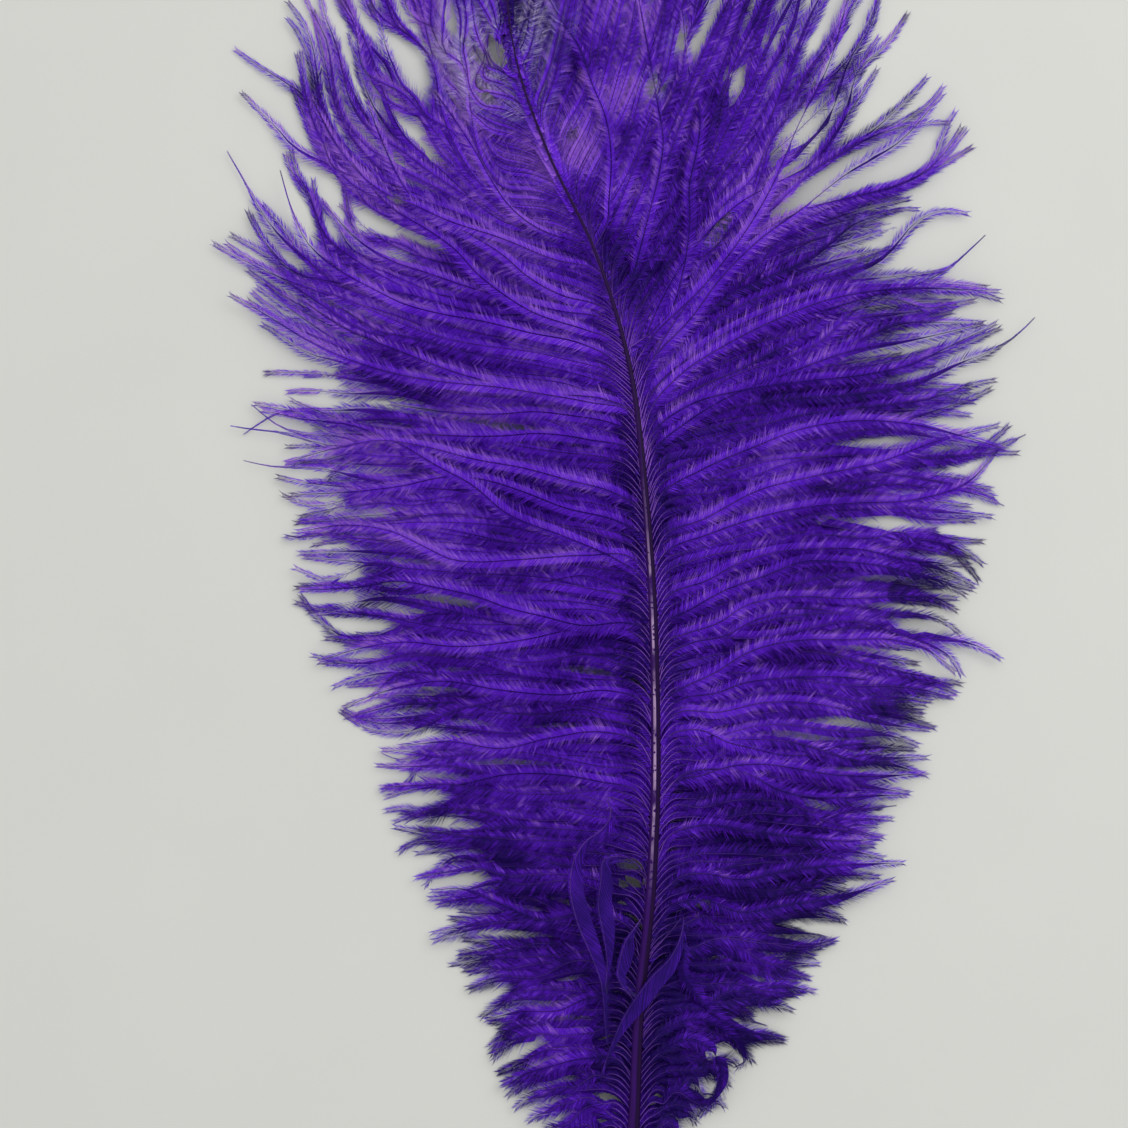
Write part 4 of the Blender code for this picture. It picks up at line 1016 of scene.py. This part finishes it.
    def tones(self):
        """The tone of each barbule: the barb's, the tuft's and its own; a gleam, a painted highlight at some
        places along the barb that is stronger on the flank towards the plume's tip; painted light on that
        flank and painted shade on barbs in lower layers; a little more near the tip and high up; and the
        vane's painted light and shade there."""
        vane, rng, barb, flank, s, u = self.vane, self.rng, self.barb, self.flank, self.s, self.u
        total, y = len(barb), self.root[:, 1]
        tone = 0.42 + (0.11 + 0.08 * ease(35, 65, y)) * vane.tone[barb] + self.shared(0.14)
        tone = tone + rng.normal(0, 0.08, total) - 0.2 * vane.hangs[barb]
        chance = rng.random((len(vane.length), GLEAM_PLACES))
        at = np.minimum(s / GLEAM_PITCH, GLEAM_PLACES - 1.1)
        here = at.astype(int)
        lot = chance[barb, here] * (1 - at % 1) + chance[barb, here + 1] * (at % 1)
        # painted highlight: a gleam at some places along the barb, stronger on the flank towards the plume's
        # tip, which faces the lamp
        gleam = np.where(flank * vane.side > 0, 0.36, 0.14)
        tone += ease(0.6, 0.85, lot) * gleam * rng.uniform(0.4, 1, total)
        # painted light on the flank towards the plume's tip, and painted shade on barbs that lie in lower
        # layers
        tone += 0.07 * flank * vane.side + 0.2 * (vane.layer[barb] - 0.5) + 0.04 * ease(0.6, 0.95, u)
        tone += 0.1 * ease(30, 60, y) * ease(0.3, 0.6, u)
        return np.clip(tone + painted_light_and_shade(vane, self.root[:, :2], s, u), 0, 1)


# ---------------------------------------------------------------- meshes

def make_mesh(name, points, triangles, uv, material, **values):
    """A mesh object from arrays: points in millimetres, triangles, the UV of each point or, for a wrapped
    map, of each corner, and the named values of each point that the material reads."""
    mesh = bpy.data.meshes.new(name)
    mesh.vertices.add(len(points))
    mesh.vertices.foreach_set("co", (points * MM).astype(np.float32).ravel())
    mesh.loops.add(len(triangles) * 3)
    mesh.loops.foreach_set("vertex_index", triangles.astype(np.int32).ravel())
    mesh.polygons.add(len(triangles))
    mesh.polygons.foreach_set("loop_start", np.arange(0, len(triangles) * 3, 3, dtype=np.int32))
    mesh.update(calc_edges=True)
    layer = mesh.uv_layers.new(name="OFBake")
    corners = uv if uv.ndim == 3 else uv[triangles]
    layer.data.foreach_set("uv", corners.astype(np.float32).ravel())
    for key, value in values.items():
        mesh.attributes.new(key, "FLOAT", "POINT").data.foreach_set("value", value.astype(np.float32).ravel())
    mesh.materials.append(material)
    mesh.validate()
    piece = bpy.data.objects.new(name, mesh)
    bpy.context.scene.collection.objects.link(piece)
    return piece


def declare(piece):
    """Says that a piece rides on the plume's body and stands for its solid."""
    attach(piece, BODY)
    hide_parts(NODE)


def along_barbs(count, places):
    """For each barb, each step but the last and each place across: the number of the step's first point,
    where a step has three, and the place."""
    barb, step, place = np.meshgrid(np.arange(count), np.arange(STEPS - 1), np.arange(places), indexing="ij")
    return (barb * STEPS + step) * 3, place


def barb_uv(u, middle, offsets):
    """UVs of three points at each step: a row of the map for each barb, and offsets across it in rows."""
    row = (np.arange(len(u))[:, None, None] + 0.5 + np.array(offsets)) / len(u)
    return np.stack(np.broadcast_arrays(middle, row), -1).reshape(-1, 2)


# ---------------------------------------------------------------- sizes and colours

def size_property(name, description, default):
    """A length a user would change, given in millimetres."""
    return bpy.props.FloatProperty(name=name, description=description, default=default * MM, unit="LENGTH",
                                   precision=5)


def colour_property(name, description, default):
    """A colour a user would change."""
    return bpy.props.FloatVectorProperty(name=name, description=description, default=default, size=3,
                                         subtype="COLOR", min=0, max=1)


class PlumeSizes(bpy.types.PropertyGroup):
    """Sizes a user would change."""
    barbs: bpy.props.IntProperty(name="Barbs", description="Barbs on each side of the shaft", default=208,
                                 min=20)
    ramus: size_property("Ramus", "Half width of a barb's rib at its root", 0.18)
    pitch: size_property("Pitch", "Distance between barbules along a barb", 0.203)
    fringe: size_property("Fringe", "Length of the longest barbules", 3.8)
    blade: size_property("Blade", "Width of a barbule", 0.12)


class PlumeColours(bpy.types.PropertyGroup):
    """Colours a user would change."""
    deep: colour_property("Deep", "Dye where the barbules are darkest", (0.014, 0.001, 0.11))
    bright: colour_property("Bright", "Dye of most barbules", (0.14, 0.013, 0.72))
    # shine is a painted highlight: the brightest barbules and the ribs that catch the light are mixed towards
    # it
    shine: colour_property("Shine", "Dye where the barbules are brightest", (0.36, 0.135, 0.74))
    tips: colour_property("Tips", "Barb tips, where the natural grey shows", (0.09, 0.06, 0.15))
    pale: colour_property("Pale", "Thin barbules with the light behind them", (0.7, 0.62, 0.84))
    rib: colour_property("Rib", "The barbs' ribs", (0.02, 0.003, 0.14))
    quill: colour_property("Quill", "The shaft's dyed horn", (0.026, 0.003, 0.062))
    # painted shade on the shaft's right side, and the near black of its upper end
    shade: colour_property("Shade", "The shaft's dark side and upper end", (0.011, 0.001, 0.028))
    strip: colour_property("Strip", "The pale strip along the shaft", (0.48, 0.32, 0.52))
    floor: colour_property("Floor", "The surface below", (0.73, 0.73, 0.68))


# ---------------------------------------------------------------- materials

class Tree:
    """Shorthand for a material's or a group's nodes."""

    def __init__(self, tree):
        self.tree = tree

    def node(self, kind, **settings):
        """A new node with its settings."""
        node = self.tree.nodes.new(kind)
        for key, value in settings.items():
            setattr(node, key, value)
        return node

    def link(self, source, target):
        """Links an output to an input."""
        self.tree.links.new(source, target)

    def feed(self, socket, value):
        """Links a socket's output, or sets a number or a colour on the socket."""
        if isinstance(value, bpy.types.NodeSocket):
            self.link(value, socket)
        else:
            socket.default_value = value if isinstance(value, float) else (*value, 1)

    def attribute(self, name):
        """A named value of the mesh's points."""
        return self.node("ShaderNodeAttribute", attribute_name=name).outputs["Fac"]

    def math(self, operation, a, b, c=None, clamp=False):
        """The result of a Math node."""
        node = self.node("ShaderNodeMath", operation=operation, use_clamp=clamp)
        for socket, value in zip(node.inputs, (a, b, c)):
            if value is not None:
                self.feed(socket, value)
        return node.outputs[0]

    def mix(self, factor, a, b, blend="MIX"):
        """Colour a at factor 0 and b at 1, or another blend of the two."""
        node = self.node("ShaderNodeMix", data_type="RGBA", blend_type=blend)
        for socket, value in zip((node.inputs[0], node.inputs[6], node.inputs[7]), (factor, a, b)):
            self.feed(socket, value)
        return node.outputs[2]

    def step(self, value, low, high):
        """0 below low, 1 above high, and smooth between them."""
        node = self.node("ShaderNodeMapRange", interpolation_type="SMOOTHSTEP")
        self.link(value, node.inputs["Value"])
        node.inputs["From Min"].default_value = low
        node.inputs["From Max"].default_value = high
        return node.outputs["Result"]

    def between(self, value, rise, fall):
        """0 below the rise, 1 past it, and 0 again past the fall."""
        below = self.math("SUBTRACT", 1.0, self.step(value, *fall))
        return self.math("MULTIPLY", self.step(value, *rise), below)

    def noise(self, scale, detail, vector=None):
        """Noise on Object coordinates, or along a vector."""
        node = self.node("ShaderNodeTexNoise")
        node.inputs["Scale"].default_value = scale
        node.inputs["Detail"].default_value = detail
        if vector is None:
            vector = self.node("ShaderNodeTexCoord").outputs["Object"]
        self.link(vector, node.inputs["Vector"])
        return node.outputs["Fac"]


def material_tree(name):
    """A new material with a Principled BSDF, and its tree."""
    material = bpy.data.materials.new(name)
    material.use_nodes = True
    return material, Tree(material.node_tree), material.node_tree.nodes["Principled BSDF"]


def finish(tree, shader, colour, roughness, specular):
    """Gives the shader its colour, roughness and specular level."""
    tree.link(colour, shader.inputs["Base Color"])
    tree.feed(shader.inputs["Roughness"], roughness)
    shader.inputs["Specular IOR Level"].default_value = specular


def dye_group():
    """Uneven dye: broad clouds over the whole plume and fine ones along it, about 0.5 on average."""
    group = bpy.data.node_groups.get("Uneven dye")
    if group:
        return group
    group = bpy.data.node_groups.new("Uneven dye", "ShaderNodeTree")
    for name, way in (("Broad", "INPUT"), ("Fine", "INPUT"), ("Amount", "OUTPUT")):
        group.interface.new_socket(name, in_out=way, socket_type="NodeSocketFloat")
    tree = Tree(group)
    given = tree.node("NodeGroupInput")
    result = tree.node("NodeGroupOutput")
    broad, fine = (
        tree.math("MULTIPLY", tree.math("SUBTRACT", tree.noise(scale, detail), 0.5), given.outputs[name])
        for name, scale, detail in (("Broad", 45.0, 1.0), ("Fine", 320.0, 2.0)))
    total = tree.math("ADD", tree.math("ADD", broad, fine), 0.5, clamp=True)
    tree.link(total, result.inputs["Amount"])
    return group


def dyed(tree, broad, fine):
    """How much more or less dye there is than on average, with these strengths."""
    node = tree.node("ShaderNodeGroup", node_tree=dye_group())
    node.inputs["Broad"].default_value = broad
    node.inputs["Fine"].default_value = fine
    return tree.math("SUBTRACT", node.outputs["Amount"], 0.5)


def dye_and_highlight_colour(tree, colours, amount):
    """The colour from deep through bright dye to shine, a painted highlight, as the amount goes from 0 to 1.
    """
    low = tree.math("MULTIPLY", amount, 1.7, clamp=True)
    return tree.mix(tree.step(amount, 0.55, 1.05), tree.mix(low, colours.deep, colours.bright), colours.shine)


def fringe_material(colours):
    """Barbules: each has its own tone, which also carries painted light and shade, the dye is uneven, some
    are pale with painted light shining through them, the brightest are mixed towards shine, a painted
    highlight, and the barb's end goes grey.
    """
    material, tree, shader = material_tree("barbules")
    tone = tree.attribute("tone")
    amount = tree.math("ADD", tone, dyed(tree, 1.2, 0.8), clamp=True)
    # painted light: pale where light shows through thin barbules
    colour = tree.mix(tree.attribute("pale"), dye_and_highlight_colour(tree, colours, amount), colours.pale)
    colour = tree.mix(tree.attribute("grey"), colour, colours.tips)
    finish(tree, shader, colour, tree.math("MULTIPLY_ADD", tone, -0.15, 0.55), 0.12)
    return material


def web_material(colours):
    """The closed foot of the fringes: dark, in part painted shade beneath the barbules, with slanting lit
    strands drawn across it.
    """
    material, tree, shader = material_tree("webs")
    lines = tree.node("ShaderNodeTexNoise", noise_dimensions="1D")
    lines.inputs["Scale"].default_value = 2.6
    lines.inputs["Detail"].default_value = 1.0
    tree.link(tree.attribute("strand"), lines.inputs["W"])
    lit = tree.math("MULTIPLY_ADD", lines.outputs["Fac"], 1.3, -0.65)
    amount = tree.math("ADD", tree.math("ADD", lit, tree.attribute("tone")), dyed(tree, 1.0, 0.3), clamp=True)
    roughness = tree.math("MULTIPLY_ADD", lines.outputs["Fac"], -0.2, 0.75)
    finish(tree, shader, dye_and_highlight_colour(tree, colours, amount), roughness, 0.1)
    return material


def rib_material(colours):
    """The barbs' ribs: smooth dyed horn, lighter near the shaft with a painted highlight that mixes towards
    shine, and greyish at their ends.
    """
    material, tree, shader = material_tree("ribs")
    amount = tree.math("ADD", tree.attribute("tone"), dyed(tree, 0.4, 0.4), clamp=True)
    colour = tree.mix(tree.attribute("grey"), tree.mix(amount, colours.rib, colours.shine), colours.tips)
    finish(tree, shader, colour, tree.math("MULTIPLY_ADD", amount, 0.15, 0.45), 0.06)
    return material


def quill_material(colours):
    """Dyed horn: purple on its left, near black in painted shade on its right, near black towards its tip,
    with a pale flecked strip just left of its middle and fine lengthwise scratches."""
    material, tree, shader = material_tree("quill")
    split = tree.node("ShaderNodeSeparateXYZ")
    tree.link(tree.node("ShaderNodeUVMap", uv_map="OFBake").outputs["UV"], split.inputs[0])
    lengthwise, around = split.outputs["X"], split.outputs["Y"]
    streaks = tree.node("ShaderNodeMapping")
    streaks.inputs["Scale"].default_value = (900, 60, 400)
    tree.link(tree.node("ShaderNodeTexCoord").outputs["Object"], streaks.inputs["Vector"])
    grain = tree.noise(1.0, 3.0, streaks.outputs["Vector"])
    turn = tree.math("ADD", around, tree.math("MULTIPLY_ADD", grain, 0.03, -0.015))
    band = tree.between(turn, (0.485, 0.5), (0.575, 0.59))
    reach = tree.between(lengthwise, (0.28, 0.36), (0.48, 0.6))
    strip = tree.math("MULTIPLY", band, reach)
    for mask in (tree.math("GREATER_THAN", tree.noise(900.0, 2.0), 0.4),
                 tree.math("MULTIPLY_ADD", grain, 0.9, 0.35, clamp=True),
                 tree.step(tree.noise(140.0, 2.0), 0.3, 0.56)):
        strip = tree.math("MULTIPLY", strip, mask)
    # painted shade: the shaft's right side is darkened as if in its own shadow; its upper end is near black
    right = tree.math("SUBTRACT", 1.0, tree.step(turn, 0.46, 0.5))
    dark = tree.math("MAXIMUM", tree.math("MULTIPLY", right, 0.9),
                     tree.math("MULTIPLY", tree.step(lengthwise, 0.5, 0.68), 0.6))
    base = tree.mix(tree.math("MULTIPLY_ADD", grain, 0.14, 0.0, clamp=True), colours.quill, colours.bright)
    colour = tree.mix(strip, tree.mix(dark, base, colours.shade), colours.strip)
    finish(tree, shader, colour, tree.math("MULTIPLY_ADD", grain, 0.2, 0.25), 0.1)
    bump = tree.node("ShaderNodeBump")
    bump.inputs["Strength"].default_value = 0.3
    bump.inputs["Distance"].default_value = 0.05 * MM
    tree.link(grain, bump.inputs["Height"])
    tree.link(bump.outputs["Normal"], shader.inputs["Normal"])
    return material


def floor_material(colours):
    """A pale matt board with faint mottling."""
    material, tree, shader = material_tree("pale board")
    mottle = tree.math("MULTIPLY_ADD", tree.noise(25.0, 4.0), 0.05, 0.975)
    tree.link(tree.mix(1.0, colours.floor, mottle, "MULTIPLY"), shader.inputs["Base Color"])
    shader.inputs["Roughness"].default_value = 0.7
    return material


# ---------------------------------------------------------------- operators

class PLUME_OT_shaft(bpy.types.Operator):
    """Carries a round profile with a shallow groove along the shaft's centre line, and closes both ends"""
    bl_idname = "plume.shaft"
    bl_label = "Shaft"

    def execute(self, context):
        rings, sides = SHAFT_RINGS, SHAFT_SIDES
        share = np.linspace(0, 1, rings)
        here, heading = shaft_at(share)
        half = here[:, 3] * read_steps(SHAFT_SLIM, share)
        half *= np.sqrt(np.clip(share / 0.006, 0.12, 1))
        angle = np.linspace(0, 2 * np.pi, sides, endpoint=False)
        depth, place, spread = GROOVE
        groove = depth * np.exp(-((angle - np.pi * place) / spread) ** 2)
        out = np.pad(direction(heading - 90), ((0, 0), (0, 1)))
        up = np.array((0.0, 0, 1))
        ring = out[:, None] * np.cos(angle)[None, :, None] + up * np.sin(angle)[None, :, None] * 0.95
        points = here[:, None, :3] + ring * ((1 - groove)[None, :, None] * half[:, None, None])
        points[..., 2] = np.maximum(points[..., 2], 0.02)
        ends = np.stack([here[0, :3] - (0, SHAFT_ENDS[0], 0), here[-1, :3] + (0, SHAFT_ENDS[1], 0)])
        points = np.concatenate([points.reshape(-1, 3), ends])
        # the seam of the UV map lies underneath, where the last column of faces ends at 1 instead of 0
        turn = (angle / (2 * np.pi) + 0.25) % 1
        uv = np.stack(np.broadcast_arrays(0.01 + 0.98 * share[:, None], turn[None]), -1).reshape(-1, 2)
        triangles = self.faces(rings, sides)
        uv = np.concatenate([uv, [(0, 0.5), (1, 0.5)]])[triangles]
        wraps = np.ptp(uv[..., 1], axis=1) > 0.6
        uv[..., 1] += wraps[:, None] & (uv[..., 1] < 0.3)
        piece = make_mesh("shaft", points, triangles, uv, quill_material(context.scene.plume_colours))
        piece.data.shade_smooth()
        declare(piece)
        return {"FINISHED"}

    def faces(self, rings, sides):
        """The walls between the rings, and a fan of triangles to the point at each end."""
        i, j = np.meshgrid(np.arange(rings - 1), np.arange(sides), indexing="ij")
        a = (i * sides + j).ravel()
        b = (i * sides + (j + 1) % sides).ravel()
        k, first, top = np.arange(sides), rings * sides, (rings - 1) * sides
        return np.concatenate([
            np.stack([a, a + sides, b], 1), np.stack([b, a + sides, b + sides], 1),
            np.stack([np.full(sides, first), k, (k + 1) % sides], 1),
            np.stack([np.full(sides, first + 1), top + (k + 1) % sides, top + k], 1)])


def vane_of(side, context):
    """The barbs of one side, as many as the sizes say."""
    return Vane(side, context.scene.plume_sizes.barbs)


class PLUME_OT_ribs(bpy.types.Operator):
    """Carries a three-sided profile, its ridge up, along every barb, thinning towards its tip"""
    bl_idname = "plume.ribs"
    bl_label = "Ribs of the barbs"

    def execute(self, context):
        material = rib_material(context.scene.plume_colours)
        half = context.scene.plume_sizes.ramus / MM
        for side, name in SIDES:
            vane = vane_of(side, context)
            count = len(vane.route)
            u = vane.at / vane.length[:, None]
            radius = rib_radius(half * np.where(vane.top, 1, 0.72)[:, None], u)[..., None]
            radius[:, -1] *= 0.3
            flanks = (sign * vane.across * 0.85 - vane.up * 0.5 for sign in (-1, 1))
            corners = (vane.up * 1.15, *flanks)
            points = np.stack([vane.route + corner * radius for corner in corners], 2)
            first, k = along_barbs(count, 3)
            a, b = first + k, first + (k + 1) % 3
            walls = np.stack([a, b, a + 3, b, b + 3, a + 3], -1).reshape(-1, 3)
            end = np.arange(count)[:, None] * STEPS * 3
            caps = np.concatenate([end + (0, 2, 1), end + (STEPS - 1) * 3 + (0, 1, 2)])
            uv = barb_uv(u, u[..., None] * 0.99 + (0.005, 0, 0), (0, -0.4, 0.4))
            grey = end_grey(vane, np.arange(count)[:, None], vane.at)[..., None]
            tone, grey = (np.broadcast_to(each, u.shape + (3,)) for each in (self.tone(vane), grey))
            piece = make_mesh("ribs_" + name, points.reshape(-1, 3), np.concatenate([walls, caps]), uv,
                              material, tone=tone, grey=grey)
            declare(piece)
        return {"FINISHED"}

    def tone(self, vane):
        """Tone along the ribs: a painted highlight beside the shaft, where they catch the light, less so high
        up and low down, and a little lighter on blades that hang and in sparse places."""
        y = vane.flat[..., 1]
        near = 1 - ease(2.5, 8, vane.at)
        # painted highlight: ribs beside the shaft are lighter, as where they catch the light
        comb_highlight = near * (1 - 0.8 * ease(10, 45, y)) * (0.4 + 0.6 * ease(-90, -50, y))
        whole = np.where(vane.top, 0.03, 0.14)[:, None, None] + 0.06 * vane.tone[:, None, None]
        return whole + (comb_highlight + 0.25 * vane.hangs[:, None] + 0.3 * sparse_at(vane.flat))[..., None]


class PLUME_OT_webs(bpy.types.Operator):
    """Fills the foot of each fringe, where barbules lie too close to tell apart, with two strips a barb"""
    bl_idname = "plume.webs"
    bl_label = "Webs of the barbs"

    def execute(self, context):
        sizes = context.scene.plume_sizes
        material = web_material(context.scene.plume_colours)
        for side, name in SIDES:
            vane = vane_of(side, context)
            u = vane.at / vane.length[:, None]
            hangs = vane.hangs[:, None, None]
            width = web_width(vane, sizes.fringe / MM, u)[..., None]
            blade = (ease(0.22, 0.5, u) * (1 - ease(0.6, 1, u)))[..., None]
            fall = np.radians(34 + 20 * (1 - ease(1.5, 8, vane.at)))[..., None] * (1 - 0.75 * hangs)
            foot = vane.route - vane.up * rib_radius(sizes.ramus / MM, u)[..., None] * 0.55
            edges = []
            for sign in (-1, 1):
                way = sign * vane.across * np.cos(fall) - vane.up * np.sin(fall)
                wide = np.where(hangs, (1.75 + 1.45 * sign) * blade + 0.1, width)
                depth = parting_depth((foot + way * wide)[..., :2])[..., None] * (1 - hangs)
                edges.append(foot + way * wide * (1 - ease(0, 0.3, depth)))
            points = np.stack([edges[0], foot, edges[1]], 2)
            points[..., 2] = np.maximum(points[..., 2], 0.08)
            first, k = along_barbs(len(u), 2)
            a = first + k
            strips = np.stack([a, a + 3, a + 1, a + 1, a + 3, a + 4], -1).reshape(-1, 3)
            uv = barb_uv(u, u[..., None], (-0.45, 0, 0.45))
            slant = np.where(hangs, blade * (0.6, 0, 6.4), width * (1.1, 0, 1.1))
            strand = vane.at[..., None] - slant + np.arange(len(u))[:, None, None] * 17.3
            piece = make_mesh("webs_" + name, points.reshape(-1, 3), strips, uv, material,
                              tone=self.tone(vane, u), strand=strand)
            piece.data.shade_smooth()
            declare(piece)
        return {"FINISHED"}

    def tone(self, vane, u):
        """Tone along the webs: low, as painted shade beneath the barbules, with the vane's painted light and
        shade there, the barb's own tone, painted shade on barbs in lower layers, and painted light on the
        flank towards the plume's tip. Blades that hang are dark."""
        tone = 0.16 + painted_light_and_shade(vane, vane.flat, vane.at, u) + 0.08 * vane.tone[:, None]
        # painted shade on barbs that lie in lower layers
        tone = np.where(vane.hangs[:, None], -0.12, tone)[..., None] + 0.2 * (vane.layer[:, None, None] - 0.5)
        # painted light on the flank towards the plume's tip
        return np.clip(tone + vane.side * np.array((-0.08, 0, 0.08)), 0, 1)


class PLUME_OT_barbules(bpy.types.Operator):
    """Grows two fringes of barbules on every barb: blades in small groups whose tips draw together"""
    bl_idname = "plume.barbules"
    bl_label = "Barbules"

    def execute(self, context):
        material = fringe_material(context.scene.plume_colours)
        for side, name in SIDES:
            vane = vane_of(side, context)
            fringes = Fringes(vane, context.scene.plume_sizes)
            zones = np.array_split(np.argsort(vane.share, kind="stable"), 3)
            for zone, where in zip(("low", "middle", "high"), zones):
                pick = np.isin(fringes.barb, where)
                row = np.empty(len(vane.share))
                row[where] = np.arange(len(where))
                uv = fringes.uv[pick]
                uv[..., 1] = (row[fringes.barb[pick]][:, None] + 0.5 + 0.45 * uv[..., 1]) / len(where)
                triangles = (np.arange(pick.sum())[:, None, None] * 4 + ((0, 2, 1), (1, 2, 3))).reshape(-1, 3)
                tone, grey, pale = (
                    np.repeat(each[pick], 4) for each in (fringes.tone, fringes.grey, fringes.pale))
                piece = make_mesh(f"barbules_{name}_{zone}", fringes.points[pick].reshape(-1, 3), triangles,
                                  uv.reshape(-1, 2), material, tone=tone, grey=grey, pale=pale)
                declare(piece)
        return {"FINISHED"}


class PLUME_OT_stage(bpy.types.Operator):
    """Lays the pale floor, hangs the soft light and looks straight down"""
    bl_idname = "plume.stage"
    bl_label = "Stage"

    def execute(self, context):
        scene = context.scene
        mesh = bpy.data.meshes.new("floor")
        corners = [(x * FLOOR_HALF, y * FLOOR_HALF, 0) for x, y in ((-1, -1), (1, -1), (1, 1), (-1, 1))]
        mesh.from_pydata(corners, [], [(0, 1, 2, 3)])
        mesh.materials.append(floor_material(scene.plume_colours))
        floor = bpy.data.objects.new("floor", mesh)
        floor.location.z = -FLOOR_DROP
        scene.collection.objects.link(floor)
        scene.world = bpy.data.worlds.new("room")
        scene.world.use_nodes = True
        background = scene.world.node_tree.nodes["Background"]
        background.inputs["Color"].default_value = ROOM_LIGHT
        background.inputs["Strength"].default_value = ROOM_STRENGTH
        for lamp in LAMPS:
            self.hang(scene, *lamp)
        data = bpy.data.cameras.new("camera")
        data.sensor_width = SENSOR
        data.lens = SENSOR * CAMERA_DISTANCE / VIEW_WIDTH
        data.clip_start = 0.05
        scene.camera = bpy.data.objects.new("camera", data)
        scene.camera.location = (*VIEW_CENTRE, CAMERA_DISTANCE + VIEW_HEIGHT)
        scene.collection.objects.link(scene.camera)
        scene.view_settings.view_transform = "Standard"
        scene.view_settings.look = "None"
        return {"FINISHED"}

    def hang(self, scene, name, place, size, power):
        """Hangs a square soft light that faces the plume."""
        data = bpy.data.lights.new(name, "AREA")
        data.shape = "SQUARE"
        data.size = size
        data.energy = power
        lamp = bpy.data.objects.new(name, data)
        x, y, z = place
        lamp.location = place
        lamp.rotation_euler = (-math.atan2(y, z), math.atan2(x, math.hypot(y, z)), 0)
        scene.collection.objects.link(lamp)


class PLUME_PT_panel(bpy.types.Panel):
    """Lists the plume's sizes, colours and pieces"""
    bl_idname = "PLUME_PT_panel"
    bl_label = "Plume"
    bl_space_type = "VIEW_3D"
    bl_region_type = "UI"
    bl_category = "Plume"

    def draw(self, context):
        for group in (context.scene.plume_sizes, context.scene.plume_colours):
            box = self.layout.box()
            for name in group.bl_rna.properties.keys():
                if name not in ("rna_type", "name"):
                    box.prop(group, name)
        for operator in OPERATORS:
            self.layout.operator(operator.bl_idname)


OPERATORS = (PLUME_OT_stage, PLUME_OT_shaft, PLUME_OT_ribs, PLUME_OT_webs, PLUME_OT_barbules)
CLASSES = (PlumeSizes, PlumeColours, *OPERATORS, PLUME_PT_panel)


def register():
    """Adds the panel, the operators and the scene's settings."""
    for cls in CLASSES:
        bpy.utils.register_class(cls)
    bpy.types.Scene.plume_sizes = bpy.props.PointerProperty(type=PlumeSizes)
    bpy.types.Scene.plume_colours = bpy.props.PointerProperty(type=PlumeColours)


def unregister():
    """Takes away what register added."""
    del bpy.types.Scene.plume_sizes
    del bpy.types.Scene.plume_colours
    for cls in reversed(CLASSES):
        bpy.utils.unregister_class(cls)


def main():
    """Builds the plume and its stage."""
    register()
    bpy.ops.plume.stage()
    bpy.ops.plume.shaft()
    bpy.ops.plume.ribs()
    bpy.ops.plume.webs()
    bpy.ops.plume.barbules()


if __name__ == "__main__":
    main()
